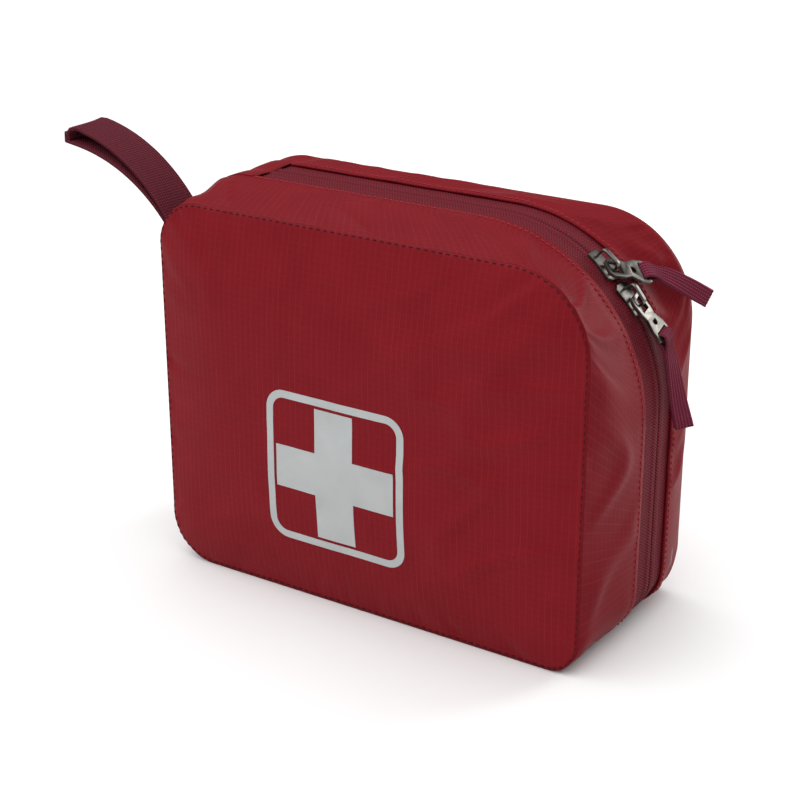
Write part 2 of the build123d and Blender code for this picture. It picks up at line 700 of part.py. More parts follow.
def slider_parts(name, angle, shoulder_side, tab_turn, tab_lift, pull_lift, webbing):
    return {
        f"{name}_slider_body": on_zip(slider_body(shoulder_side), angle),
        f"{name}_slider_crown": on_zip(slider_crown(), angle),
        f"{name}_pull_tab": on_zip(on_crown(pull_tab(), tab_turn, tab_lift), angle),
        f"{name}_pull_webbing": on_zip(on_tab(webbing, tab_turn, tab_lift, pull_lift), angle),
    }


def inside_parts():
    band_front = SCISSOR_Y - 1.6
    return {
        "mesh_pocket": mesh_pocket(),
        "mesh_pocket_hem": mesh_hem(),
        "crepe_bandages": bandage_rolls(),
        "gauze_roll": gauze_roll(),
        "plaster_roll": plaster_roll(),
        "plaster_roll_core": plaster_roll_core(),
        "glove_pack": glove_pack(),
        "organizer_panel": organizer_panel(),
        "organizer_hem": organizer_hem(),
        "dressing_sleeve": dressing_sleeve(),
        "dressing_packs": dressing_packs(),
        "foil_blanket_pack": blanket_pack(),
        "plaster_box": plaster_box(),
        "scissor_blade_front": scissor_blade(True),
        "scissor_blade_back": scissor_blade(False),
        "scissor_rivet": scissor_rivet(),
        "tweezers": tweezers(),
        "scissor_elastic": elastic_band(
            SCISSOR_PIVOT[0] - 9, SCISSOR_PIVOT[0] + 9, band_front, SCISSOR_PIVOT[1] - 25
        ),
        "tweezer_elastic": elastic_band(TWEEZER_AT[0] - 8, TWEEZER_AT[0] + 8, band_front, 70.0),
    }


def build():
    parts = shell_parts()
    upper_webbing = pull_webbing(UPPER_PULL_LONG, UPPER_PULL_SKEW)
    lower_webbing = pull_webbing(LOWER_PULL_LONG, LOWER_PULL_SKEW)
    upper = (UPPER_SLIDER_ANGLE, 1, UPPER_TAB_TURN, UPPER_TAB_LIFT, UPPER_PULL_LIFT)
    lower = (LOWER_SLIDER_ANGLE, -1, LOWER_TAB_TURN, LOWER_TAB_LIFT, LOWER_PULL_LIFT)
    parts.update(slider_parts("upper", *upper, upper_webbing))
    parts.update(slider_parts("lower", *lower, lower_webbing))
    parts.update(inside_parts())
    return parts


os.makedirs("parts", exist_ok=True)
for node, shape in build().items():
    export_step(Pos(0, -STANDING_LINE, 0) * shape, f"parts/{node}.step")
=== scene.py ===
import bpy
import math
from mathutils import Matrix, Vector, noise
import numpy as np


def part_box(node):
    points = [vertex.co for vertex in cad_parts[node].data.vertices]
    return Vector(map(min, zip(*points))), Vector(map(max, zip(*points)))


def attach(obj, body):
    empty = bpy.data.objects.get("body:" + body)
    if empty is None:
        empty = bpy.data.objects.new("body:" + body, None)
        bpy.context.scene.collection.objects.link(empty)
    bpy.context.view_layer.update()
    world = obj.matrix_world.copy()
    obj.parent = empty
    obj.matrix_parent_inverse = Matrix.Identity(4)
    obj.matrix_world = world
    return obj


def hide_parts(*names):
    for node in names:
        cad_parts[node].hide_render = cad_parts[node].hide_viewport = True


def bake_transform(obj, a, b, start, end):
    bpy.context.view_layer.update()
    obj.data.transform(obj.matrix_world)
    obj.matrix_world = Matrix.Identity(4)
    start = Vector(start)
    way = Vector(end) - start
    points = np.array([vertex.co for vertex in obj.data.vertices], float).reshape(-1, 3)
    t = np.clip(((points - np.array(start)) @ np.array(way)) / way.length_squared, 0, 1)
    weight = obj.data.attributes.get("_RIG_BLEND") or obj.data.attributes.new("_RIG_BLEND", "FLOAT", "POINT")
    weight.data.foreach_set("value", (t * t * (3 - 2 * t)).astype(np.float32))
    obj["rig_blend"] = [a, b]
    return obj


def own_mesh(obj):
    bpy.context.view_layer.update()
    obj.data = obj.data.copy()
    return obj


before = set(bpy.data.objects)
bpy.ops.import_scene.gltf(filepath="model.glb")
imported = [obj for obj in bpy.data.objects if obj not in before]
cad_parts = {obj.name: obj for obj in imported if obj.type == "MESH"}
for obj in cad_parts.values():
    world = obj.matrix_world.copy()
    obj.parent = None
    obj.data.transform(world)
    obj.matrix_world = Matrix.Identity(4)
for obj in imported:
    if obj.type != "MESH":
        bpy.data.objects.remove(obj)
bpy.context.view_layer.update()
bpy.ops.object.select_all(action="DESELECT")

MM = 0.001

# ---- Camera, table and light -----------------------------------------------------------------
# The pouch stands on a white studio table. A wide canopy lights it evenly from above and a little
# from the front left, and a soft box behind on the right lifts the back edge off the background.
CAMERA_TURN = math.radians(33.212)
CAMERA_RISE = math.radians(21.828)
CAMERA_AT = Vector((0.339838, -0.526451, 0.326535))
bpy.ops.object.camera_add(location=CAMERA_AT, rotation=(math.pi / 2 - CAMERA_RISE, 0, CAMERA_TURN))
camera = bpy.context.object
camera.data.lens = 79.909
camera.data.sensor_width = 36
bpy.context.scene.camera = camera


def linear(hex_colour):
    """An sRGB hex value as the linear colour that a socket takes."""
    shares = [int(hex_colour[n : n + 2], 16) / 255 for n in (1, 3, 5)]
    return tuple(c / 12.92 if c <= 0.04045 else ((c + 0.055) / 1.055) ** 2.4 for c in shares) + (1.0,)


def add(tree, kind, inputs=None, **settings):
    """Adds one node with its settings; an input is a value, or an output that is linked to it.
    A Mix node's colour sockets share their names with others, so they go by place: 6, 7 and 2."""
    made = tree.nodes.new(kind)
    for name, value in settings.items():
        setattr(made, name, value)
    for name, value in (inputs or {}).items():
        if isinstance(value, bpy.types.NodeSocket):
            tree.links.new(value, made.inputs[name])
        else:
            made.inputs[name].default_value = value
    return made


def reckon(tree, operation, a, b):
    """The output of one sum between two values or outputs."""
    return add(tree, "ShaderNodeMath", {0: a, 1: b}, operation=operation).outputs[0]


def speckle(tree, at, scale, detail=2.0):
    """The output of a noise pattern over a coordinate."""
    return add(tree, "ShaderNodeTexNoise", {"Vector": at, "Scale": scale, "Detail": detail}).outputs["Fac"]


def own_place(tree):
    """The piece's own coordinates, in metres."""
    return add(tree, "ShaderNodeTexCoord").outputs["Object"]


def cloth_map(tree):
    """The piece's pattern map in millimetres, whole and as its two directions."""
    weave = add(tree, "ShaderNodeUVMap", uv_map="weave").outputs["UV"]
    return weave, add(tree, "ShaderNodeSeparateXYZ", {"Vector": weave}).outputs


def new_material(name):
    """An empty material, its node tree, and its shader."""
    material = bpy.data.materials.new(name)
    material.use_nodes = True
    return material, material.node_tree, material.node_tree.nodes["Principled BSDF"]


def paint(tree, shader, share, dark, light):
    """Base colour between two sRGB hex values by a share."""
    ends = {0: share, 6: linear(dark), 7: linear(light)}
    tone = add(tree, "ShaderNodeMix", ends, data_type="RGBA")
    tree.links.new(tone.outputs[2], shader.inputs["Base Color"])


def relief(tree, shader, height, strength, distance):
    """Fine surface shape from a height."""
    bump = add(tree, "ShaderNodeBump", {"Height": height, "Strength": strength, "Distance": distance})
    tree.links.new(bump.outputs["Normal"], shader.inputs["Normal"])


def dullness(tree, shader, share, low, high):
    """Roughness between two values by a share."""
    span = add(tree, "ShaderNodeMapRange", {"Value": share, "To Min": low, "To Max": high})
    tree.links.new(span.outputs["Result"], shader.inputs["Roughness"])


def soft_box(name, size, at, towards, power, colour="#ffffff"):
    """A rectangular studio light that faces a point."""
    turn = (Vector(towards) - Vector(at)).to_track_quat("-Z", "Y").to_euler()
    bpy.ops.object.light_add(type="AREA", location=at, rotation=turn)
    lamp = bpy.context.object
    lamp.name = name
    lamp.data.shape = "RECTANGLE"
    lamp.data.size, lamp.data.size_y = size
    lamp.data.energy = power
    lamp.data.color = linear(colour)[:3]


bpy.ops.object.light_add(type="SUN", rotation=(math.radians(13), math.radians(-14), 0))
canopy = bpy.context.object
canopy.name = "overhead_canopy"
canopy.data.energy = 3.75
canopy.data.angle = math.radians(100)
soft_box("back_soft_box", (0.5, 0.7), (0.6, 1.05, 0.5), (0, 0, 0.08), 8.0)

bpy.ops.mesh.primitive_plane_add(size=24)
table = bpy.context.object
table.name = "table"
white_table, tree, shader = new_material("matt white laminate")
grain = add(tree, "ShaderNodeTexNoise", {"Scale": 60.0, "Detail": 3.0})
dullness(tree, shader, grain.outputs["Fac"], 0.55, 0.62)
shader.inputs["Base Color"].default_value = (0.86, 0.86, 0.86, 1)
table.data.materials.append(white_table)

sky = bpy.data.worlds.new("studio")
sky.use_nodes = True
sky.node_tree.nodes["Background"].inputs["Color"].default_value = (1.0, 1.0, 1.0, 1)
sky.node_tree.nodes["Background"].inputs["Strength"].default_value = 0.19
bpy.context.scene.world = sky
bpy.context.scene.view_settings.view_transform = "Standard"

# ---- Fabric shells -----------------------------------------------------------------------------
# Two shells of red ripstop nylon over thin foam, lined in grey. Each is a crowned panel sewn to a
# gusset, the seam turned in. The cuts take their places from the frame, a cloth simulation stuffs
# them, and their narrow folds and puckers are drawn on after it.


def box_mm(node):
    """The low and the high corner of a CAD node's box, in millimetres."""
    return [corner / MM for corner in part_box(node)]


def edge_mm(node, end, axis):
    """One side of a CAD node's box, in millimetres."""
    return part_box(node)[end][axis] / MM


HALF_WIDTH = edge_mm("front_gusset", 1, 0)
HEIGHT = edge_mm("front_gusset", 1, 2)
FRONT_SEAM = edge_mm("front_gusset", 0, 1)
FRONT_EDGE = edge_mm("front_gusset", 1, 1)
BACK_EDGE = edge_mm("back_gusset", 0, 1)
BACK_SEAM = edge_mm("back_gusset", 1, 1)
ZIP_Y = (edge_mm("front_zip_tape", 1, 1) + edge_mm("back_zip_tape", 0, 1)) / 2
ZIP_END_X = edge_mm("front_zip_tape", 0, 0)
FRONT_HALF = edge_mm("front_panel", 1, 0)
FRONT_TOP = edge_mm("front_panel", 1, 2)
BACK_HALF = edge_mm("back_panel", 1, 0)
BACK_TOP = edge_mm("back_panel", 1, 2)
FRONT_FACE = edge_mm("front_panel", 0, 1)
BACK_FACE = edge_mm("back_panel", 1, 1)
FLAT_BAND = 6.0
WALL = 1.2
LINED_WALL = WALL * 0.8  # how thick the cloth is drawn, thinner than the frame's wall
CLOTH_STEP = 2.4  # between the points of a cloth, before it is subdivided
THREAD_GAP = 2.5  # between the ripstop's doubled threads
TUCK = 0.8  # how far both cloths turn in at a seam

# half width, top, and the corner radii: top left, top right, bottom right, bottom left
ZIP_LINE = (HALF_WIDTH, HEIGHT, (19.0, 66.5, 20.0, 20.0))
FRONT_LINE = (FRONT_HALF, FRONT_TOP, (19.0, 30.0, 13.0, 20.0))
BACK_LINE = (BACK_HALF, BACK_TOP, (19.0, 39.0, 20.0, 20.0))


def round_at(line, stretch, share, inset=0.0):
    """A point of a rounded outline: stretches run clockwise from the top side, corners between."""
    half, top, radii = line
    tl, tr, br, bl = (max(r - inset, 0.5) for r in radii)
    low, left, right, high = inset, -half + inset, half - inset, top - inset
    sides = {
        0: ((left + tl, high), (right - tr, high)),
        2: ((right, high - tr), (right, low + br)),
        4: ((right - br, low), (left + bl, low)),
        6: ((left, low + bl), (left, high - tl)),
    }
    if stretch in sides:
        a, b = sides[stretch]
        return a[0] + (b[0] - a[0]) * share, a[1] + (b[1] - a[1]) * share
    centre, radius, start = {
        1: ((right - tr, high - tr), tr, 90),
        3: ((right - br, low + br), br, 0),
        5: ((left + bl, low + bl), bl, -90),
        7: ((left + tl, high - tl), tl, 180),
    }[stretch]
    angle = math.radians(start - 90 * share)
    return centre[0] + radius * math.cos(angle), centre[1] + radius * math.sin(angle)


def stretch_lengths(line):
    """How long each side and corner of an outline is."""
    lengths = []
    for stretch in range(8):
        a, m, b = (Vector(round_at(line, stretch, share)) for share in (0, 0.5, 1))
        chord = (m - a).length + (b - m).length
        lengths.append(chord if stretch % 2 == 0 else chord * 1.026)
    return lengths


def cloth_sample(y):
    """The outline that a shell has at a depth, between its seam and the flat band by the zip."""
    if y <= FRONT_EDGE - FLAT_BAND:
        share = (y - FRONT_SEAM) / (FRONT_EDGE - FLAT_BAND - FRONT_SEAM)
        return FRONT_LINE, ZIP_LINE, max(share, 0.0)
    if y >= BACK_EDGE + FLAT_BAND:
        share = (BACK_SEAM - y) / (BACK_SEAM - BACK_EDGE - FLAT_BAND)
        return BACK_LINE, ZIP_LINE, max(share, 0.0)
    return ZIP_LINE, ZIP_LINE, 1.0


def hoop_point(stretch, share, y, inset=0.0):
    """A point of a gusset, on the straight line from its seam to the zip's outline."""
    from_line, to_line, blend = cloth_sample(y)
    a = round_at(from_line, stretch, share, inset)
    b = round_at(to_line, stretch, share, inset)
    return Vector((a[0] + (b[0] - a[0]) * blend, y, a[1] + (b[1] - a[1]) * blend))


def hoop_columns(step):
    """(stretch, share, distance round the zip's outline) about every step millimetres."""
    columns, run = [], 0.0
    for stretch, length in enumerate(stretch_lengths(ZIP_LINE)):
        count = max(3, round(length / step))
        columns += [(stretch, n / count, run + length * n / count) for n in range(count)]
        run += length
    return columns, run


def seam_outward(stretch, share, line):
    """The direction out of an outline at a point of it."""
    a = Vector(round_at(line, stretch, share, 1.0))
    b = Vector(round_at(line, stretch, share, 0.0))
    across = b - a
    return Vector((across.x, 0, across.y)).normalized()


def to_mesh(name, points, faces, uv=None):
    """A mesh object whose points are given in millimetres, with a pattern map in millimetres."""
    mesh = bpy.data.meshes.new(name)
    mesh.from_pydata([tuple(Vector(p) * MM) for p in points], [], faces)
    made = bpy.data.objects.new(name, mesh)
    bpy.context.collection.objects.link(made)
    if uv:
        layer = mesh.uv_layers.new(name="weave")
        for loop in mesh.loops:
            layer.data[loop.index].uv = uv[loop.vertex_index]
    return made


def sheet_faces(lines, wide):
    """The faces of a sheet whose points run line by line, each line so many points wide."""
    corners = [n * wide + m for n in range(lines - 1) for m in range(wide - 1)]
    return [(a, a + 1, a + wide + 1, a + wide) for a in corners]


def tube_faces(rings, sides, base=0):
    """The faces of a tube whose points run ring by ring, with both its ends closed."""
    faces = []
    for n in range(rings - 1):
        for m in range(sides):
            a, b = base + n * sides + m, base + n * sides + (m + 1) % sides
            faces.append((a, b, b + sides, a + sides))
    faces.append(tuple(base + m for m in range(sides))[::-1])
    faces.append(tuple(base + (rings - 1) * sides + m for m in range(sides)))
    return faces


def heading(line, n):
    """The direction of a line of points at one of them."""
    return (line[min(n + 1, len(line) - 1)] - line[max(n - 1, 0)]).normalized()


def only(piece):
    """Selects one piece alone and makes it the active one."""
    bpy.ops.object.select_all(action="DESELECT")
    piece.select_set(True)
    bpy.context.view_layer.objects.active = piece
    return piece


def finish_modifier(piece, kind, **settings):
    """Adds a modifier, sets it and applies it."""
    only(piece)
    modifier = piece.modifiers.new(kind.title(), kind)
    for name, value in settings.items():
        setattr(modifier, name, value)
    bpy.ops.object.modifier_apply(modifier=modifier.name)


def turn_faces_out(piece):
    """Makes a closed or a simple open mesh's faces all look the same way, outwards."""
    only(piece)
    bpy.ops.object.mode_set(mode="EDIT")
    bpy.ops.mesh.select_all(action="SELECT")
    bpy.ops.mesh.normals_make_consistent(inside=False)
    bpy.ops.object.mode_set(mode="OBJECT")


def face_away(piece):
    """Flips an open hoop of cloth if its faces look in at the pouch's middle."""
    middle = Vector((0, 0, HEIGHT / 2)) * MM
    outward = sum(p.normal.dot(Vector((p.center.x, 0, p.center.z)) - middle) for p in piece.data.polygons)
    if outward < 0:
        piece.data.flip_normals()


def smooth(piece, angle=None):
    """Shades a piece smooth, all over or only across edges flatter than an angle in degrees."""
    only(piece)
    if angle is None:
        bpy.ops.object.shade_smooth()
    else:
        bpy.ops.object.shade_smooth_by_angle(angle=math.radians(angle))


def line_inside(piece, thick):
    """Thickens a cloth inwards; its inner face takes the second material, the lining."""
    faces = {"material_offset": 1, "material_offset_rim": 0}
    finish_modifier(piece, "SOLIDIFY", thickness=thick * MM, offset=-1, **faces)


def stuff(piece, held, pressure, growth, frames, cap, slack=None):
    """Cloth simulation at ten times the size: the held points stay, the rest is cut a little too
    large and pushed out, and no point moves further than the cap."""
    only(piece)
    scale = 10.0
    mesh = piece.data
    start = [v.co.copy() for v in mesh.vertices]
    mesh.transform(Matrix.Scale(scale, 4))
    pins = piece.vertex_groups.new(name="held")
    for index, weight in held.items():
        pins.add([index], weight, "REPLACE")
    cloth = piece.modifiers.new("Cloth", "CLOTH")
    put = cloth.settings
    put.quality = 6
    put.mass = 0.15
    put.tension_stiffness = put.compression_stiffness = 14
    put.shear_stiffness = 4
    put.bending_stiffness = 0.12
    put.air_damping = 2
    put.vertex_group_mass = "held"
    put.pin_stiffness = 1
    put.effector_weights.gravity = 0
    put.use_pressure = True
    put.uniform_pressure_force = pressure
    if slack:
        loose = piece.vertex_groups.new(name="loose")
        for index, weight in slack.items():
            loose.add([index], weight, "REPLACE")
        put.vertex_group_shrink = "loose"
        put.shrink_min, put.shrink_max = 0.0, -growth
    else:
        put.shrink_min = -growth
    cloth.collision_settings.use_collision = False
    scene = bpy.context.scene
    cloth.point_cache.frame_start, cloth.point_cache.frame_end = 1, frames
    for step in range(1, frames + 1):
        scene.frame_set(step)
    bpy.ops.object.modifier_apply(modifier=cloth.name)
    scene.frame_set(1)
    mesh = piece.data
    mesh.transform(Matrix.Scale(1 / scale, 4))
    limit = cap * MM
    for vertex, rest in zip(mesh.vertices, start):
        moved = vertex.co - rest
        if moved.length > 1e-9:
            vertex.co = rest + moved.normalized() * limit * math.tanh(moved.length / limit)
    piece.vertex_groups.clear()


def ripstop(name, body, painted_light_tone, line_share):
    """Ripstop nylon: a thin plain weave with doubled threads every few millimetres, satin from its
    coating. Its doubled threads are painted as fine paler lines, a painted highlight, over broad
    lighter and darker patches that are painted light and shade."""
    material, tree, shader = new_material(name)
    weave, parts = cloth_map(tree)
    lines = []
    for axis, width in (("X", 0.30), ("Y", 0.22)):
        # triangle wave over the thread gap; its foot is the doubled thread
        wave = reckon(tree, "PINGPONG", parts[axis], THREAD_GAP / 2)
        line = add(
            tree,
            "ShaderNodeMapRange",
            {"Value": wave, "From Min": width, "From Max": 0.0},
            interpolation_type="SMOOTHSTEP",
        )
        lines.append(line)
    # broad lighter and darker patches: painted light and shade of the cloth's folds
    uneven = speckle(tree, weave, 0.05, 2.0)
    streak_map = add(tree, "ShaderNodeMapping", {"Vector": weave, "Scale": (0.9, 0.03, 1.0)}).outputs[0]
    streaks = speckle(tree, streak_map, 1.0, 1.0)
    along = reckon(tree, "MULTIPLY", lines[0].outputs[0], streaks)
    across = reckon(tree, "MULTIPLY", lines[1].outputs[0], line_share)
    grid = reckon(tree, "MAXIMUM", along, across)
    grid_show = reckon(tree, "MULTIPLY", grid, 0.26)
    tone = add(
        tree,
        "ShaderNodeMix",
        {0: uneven, 6: linear(body), 7: linear(painted_light_tone)},
        data_type="RGBA",
    )
    # the doubled threads' paler red, streaked along the warp, is a painted highlight
    pale = linear("#a5343b")
    threads = {0: grid_show, 6: tone.outputs[2], 7: pale}
    lined = add(tree, "ShaderNodeMix", threads, data_type="RGBA")
    tree.links.new(lined.outputs[2], shader.inputs["Base Color"])
    dullness(tree, shader, grid, 0.5, 0.42)
    # threads 0.8 mm apart, coarser than the real ones so that they show
    warp = reckon(tree, "PINGPONG", parts["X"], 0.4)
    weft = reckon(tree, "PINGPONG", parts["Y"], 0.4)
    cross = reckon(tree, "ADD", warp, weft)
    cross_low = reckon(tree, "MULTIPLY", cross, 0.35)
    raised = reckon(tree, "MULTIPLY", grid, 0.8)
    height = reckon(tree, "ADD", cross_low, raised)
    relief(tree, shader, height, 0.35, 0.00015)
    shader.inputs["Sheen Weight"].default_value = 0.02
    shader.inputs["Sheen Roughness"].default_value = 0.4
    shader.inputs["Sheen Tint"].default_value = linear("#c05058")
    shader.inputs["Specular IOR Level"].default_value = 0.06
    return material


panel_ripstop = ripstop("red ripstop nylon panel", "#6f1119", "#7d1820", 0.3)
# the gussets' copy of the same ripstop is a little darker than the panels': painted shade on the sides
gusset_ripstop = ripstop("red ripstop nylon gusset with painted shade", "#680d17", "#76131c", 0.4)

grey_lining, tree, shader = new_material("grey coated taffeta lining")
# Coated taffeta: a tight plain weave, faintly glossy from its coating.
place = own_place(tree)
spots = speckle(tree, place, 900.0, 2.0)
relief(tree, shader, spots, 0.25, 0.0002)
cloudy = speckle(tree, place, 30.0)
paint(tree, shader, cloudy, "#7d8086", "#8f9298")
shader.inputs["Roughness"].default_value = 0.5


def pucker(run, phase):
    """How hard the seam gathers the cloth along its run, as narrow uneven dips 9 to 22 mm apart."""
    total = 0.0
    for pitch, strength in ((9.3, 0.35), (14.1, 0.4), (21.7, 0.5)):
        drift = 1.7 * noise.noise(Vector((run / 31.0, phase, pitch)))
        wave = math.cos(math.tau * run / pitch + phase + drift)
        total += strength * max(wave, 0.0) ** 3
    return total * (0.55 + 0.9 * noise.noise(Vector((run / 47.0, phase, 3.1))) ** 2 * 4)


def ridge(x, y, phase):
    """A field of narrow soft folds, each 0 beside it and 1 along its crest."""
    return max(0.0, 1 - 3.4 * abs(noise.noise(Vector((x, y, phase))))) ** 1.6


def panel_piece(name, line, seam, face, out, phase):
    """A crowned panel: a grid drawn to the outline, bulged, dipped at the seam and then stuffed."""
    half, top, radii = line
    columns, rows = round(2 * half / CLOTH_STEP), round(top / CLOTH_STEP)
    bpy.ops.mesh.primitive_grid_add(x_subdivisions=columns, y_subdivisions=rows, size=2)
    piece = bpy.context.object
    piece.name = name
    crown = abs(face - seam)
    mesh = piece.data
    layer = mesh.uv_layers.active or mesh.uv_layers.new(name="weave")
    layer.name = "weave"
    flat, held, slack, bulges, folds = [], {}, {}, [], []
    for vertex in mesh.vertices:
        u, v = vertex.co.x, vertex.co.y
        rim = max(abs(u), abs(v))
        x, z = u * half, top / 2 + v * top / 2
        # pull the square's corners in to the outline's rounded corners
        quarter = (0 if v > 0 else 3) if u < 0 else (1 if v > 0 else 2)
        radius = radii[quarter]
        if rim > 1e-6:
            edge = Vector((u / rim * half, v / rim * top / 2))
            corner = Vector((half - radius, top / 2 - radius))
            over = Vector((abs(edge.x) - corner.x, abs(edge.y) - corner.y))
            if over.x > 0 and over.y > 0:
                # where the ray from the middle meets the corner's arc
                ray = Vector((abs(edge.x), abs(edge.y))).normalized()
                along = ray.dot(corner)
                reach = along + math.sqrt(max(along**2 - corner.length_squared + radius**2, 0.0))
                shrink = reach / edge.length
                pull = 1 + (shrink - 1) * rim**3
                x, z = x * pull, top / 2 + (z - top / 2) * pull
        x *= 1 - TUCK / half
        z = top / 2 + (z - top / 2) * (1 - TUCK / (top / 2))
        flat.append((x, z))
    for vertex, (x, z) in zip(mesh.vertices, flat):
        u, v = vertex.co.x, vertex.co.y
        rim = max(abs(u), abs(v))
        # distance to the outline, measured along the nearer side
        inward = min(half - abs(x), z, top - z)
        quarter = (0 if z > top / 2 else 3) if x < 0 else (1 if z > top / 2 else 2)
        radius = radii[quarter]
        dx, dz = abs(x) - (half - radius), abs(z - top / 2) - (top / 2 - radius)
        if dx > 0 and dz > 0:
            inward = radius - math.hypot(dx, dz)
        inward = max(inward - TUCK, 0.0)
        bulge = (1 - math.exp(-inward / 7.0)) * (1 - math.exp(-max(z, 0) / 22.0))
        bulge *= (1 - math.exp(-max(half - abs(x), 0) / 9.0)) * (1 - math.exp(-max(top - z, 0) / 8.0))
        bulges.append(bulge)
        roll = math.sqrt(max(0.0, 1 - (1 - min(inward, 2.4) / 2.4) ** 2)) * 1.2
        depth = roll + (crown - 1.2) * bulge
        angle_run = math.atan2(z - top / 2, x) / math.tau * 2 * (2 * half + top)
        dip = pucker(angle_run, phase) * math.exp(-inward / 6.5) * min(inward / 2.0, 1.0)
        sway = noise.noise(Vector((x / 55.0, z / 38.0, phase))) * 1.6 * bulge
        # folds fan in from the corners, strongest to the right and along the top
        loose = (20 - x) / 90.0 if out > 0 else (x + 10) / 80.0
        loose = min(max(loose, 0.15), 1.0)
        fan = ridge((x + z * 0.7) / 62.0, (z - x * 0.5) / 21.0, phase + 4) * loose * bulge
        depth += sway
        folds.append(2.3 * fan - 2.1 * dip)
        vertex.co = Vector((x, seam + out * depth, z)) * MM
        held[vertex.index] = 1.0 if rim > 0.999 else 0.0
        slack[vertex.index] = math.exp(-inward / 22.0)
    for loop in mesh.loops:
        layer.data[loop.index].uv = flat[loop.vertex_index]
    stuff(piece, {k: w for k, w in held.items() if w}, 0.45 * -out, 0.022, 18, 2.6, slack)
    for vertex, fold in zip(piece.data.vertices, folds):
        vertex.co.y += out * fold * MM
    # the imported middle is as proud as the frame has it
    centre = [v for v in piece.data.vertices if abs(v.co.x) < 0.035 and 0.03 < v.co.z < 0.1]
    excess = sum(out * (v.co.y / MM - seam) for v in centre) / len(centre) - crown
    for vertex, bulge in zip(piece.data.vertices, bulges):
        vertex.co.y -= out * excess * bulge * MM
    turn_faces_out(piece)
    mesh = piece.data
    if sum(polygon.normal.y for polygon in mesh.polygons) * out < 0:
        mesh.flip_normals()
    finish_modifier(piece, "SUBSURF", levels=1, render_levels=1)
    piece.data.materials.append(panel_ripstop)
    piece.data.materials.append(grey_lining)
    line_inside(piece, LINED_WALL)
    smooth(piece)
    return piece


front_cloth = panel_piece("front_panel_ripstop", FRONT_LINE, FRONT_SEAM, FRONT_FACE, out=-1, phase=0.3)
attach(front_cloth, "front_shell")
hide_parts("front_panel")
back_cloth = panel_piece("back_panel_ripstop", BACK_LINE, BACK_SEAM, BACK_FACE, out=1, phase=5.1)
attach(back_cloth, "back_shell")
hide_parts("back_panel")


def gusset_piece(name, seam, edge, phase, pressure):
    """A gusset hoop from the seam to the folded edge beside the zip, gathered a little by both."""
    columns, around = hoop_columns(CLOTH_STEP)
    depth = abs(edge - seam)
    rows = round(depth / CLOTH_STEP)
    into = 1 if edge > seam else -1
    points, uv, held, slack, folds = [], [], {}, {}, []
    for row in range(rows + 1):
        share = row / rows
        y = seam + (edge - seam) * share
        for stretch, part, run in columns:
            at = hoop_point(stretch, part, y)
            out = seam_outward(stretch, part, ZIP_LINE)
            from_seam, from_edge = depth * share, depth * (1 - share)
            near = math.exp(-from_seam / 6.0) * min(from_seam / 2.0, 1.0)
            roll = TUCK * (1 - math.sqrt(max(0.0, 1 - (1 - min(from_seam, 2.0) / 2.0) ** 2)))
            across = math.sin(math.pi * share)
            lift = across * 1.0 * noise.noise(Vector((run / 30.0, phase, share * 1.2)))
            fold = across * 2.1 * ridge(run / 21.0 + share * 0.9, share * 0.8, phase) - across * 0.8
            fold -= 2.0 * pucker(run + 3, phase) * near
            lift -= roll
            lift -= 0.35 * math.exp(-((from_edge - 3.0) / 1.2) ** 2)
            if stretch in (4, 5, 3) and at.z < 3:
                lift = min(lift, 0.0) * 0.3
                fold = 0.0
            folds.append(out * fold * MM)
            index = len(points)
            points.append(at + out * lift)
            uv.append((run, y))
            if row == 0 or row == rows:
                held[index] = 1.0
            slack[index] = 1.0 if stretch not in (4,) else 0.0
    count = len(columns)
    faces = []
    for row in range(rows):
        for n in range(count):
            a, b = row * count + n, row * count + (n + 1) % count
            quad = (a, b, b + count, a + count)
            faces.append(quad if into > 0 else quad[::-1])
    piece = to_mesh(name, points, faces, uv)
    # the map's last column runs on past the start instead of jumping back
    layer = piece.data.uv_layers["weave"]
    for polygon in piece.data.polygons:
        loops = list(polygon.loop_indices)
        runs = [layer.data[i].uv[0] for i in loops]
        if max(runs) - min(runs) > around / 2:
            for i in loops:
                if layer.data[i].uv[0] < around / 2:
                    layer.data[i].uv[0] += around
    stuff(piece, held, pressure, 0.016, 16, 1.5, slack)
    for vertex, fold in zip(piece.data.vertices, folds):
        vertex.co += fold
    finish_modifier(piece, "SUBSURF", levels=1, render_levels=1)
    piece.data.materials.append(gusset_ripstop)
    piece.data.materials.append(grey_lining)
    turn_faces_out(piece)
    face_away(piece)
    line_inside(piece, LINED_WALL)
    smooth(piece)
    return piece


front_side = gusset_piece("front_gusset_ripstop", FRONT_SEAM, FRONT_EDGE, phase=1.9, pressure=0.2)
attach(front_side, "front_shell")
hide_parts("front_gusset")
back_side = gusset_piece("back_gusset_ripstop", BACK_SEAM, BACK_EDGE, phase=7.4, pressure=0.25)
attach(back_side, "back_shell")
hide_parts("back_gusset")

# ---- Spine ---------------------------------------------------------------------------------------
# One strip of the ripstop joins the shells down the left side and round to the zip's two ends. It
# is the hinge of the pouch, so it bends between the shells.
SPINE_LAP = 1.6  # sewn over each gusset's edge


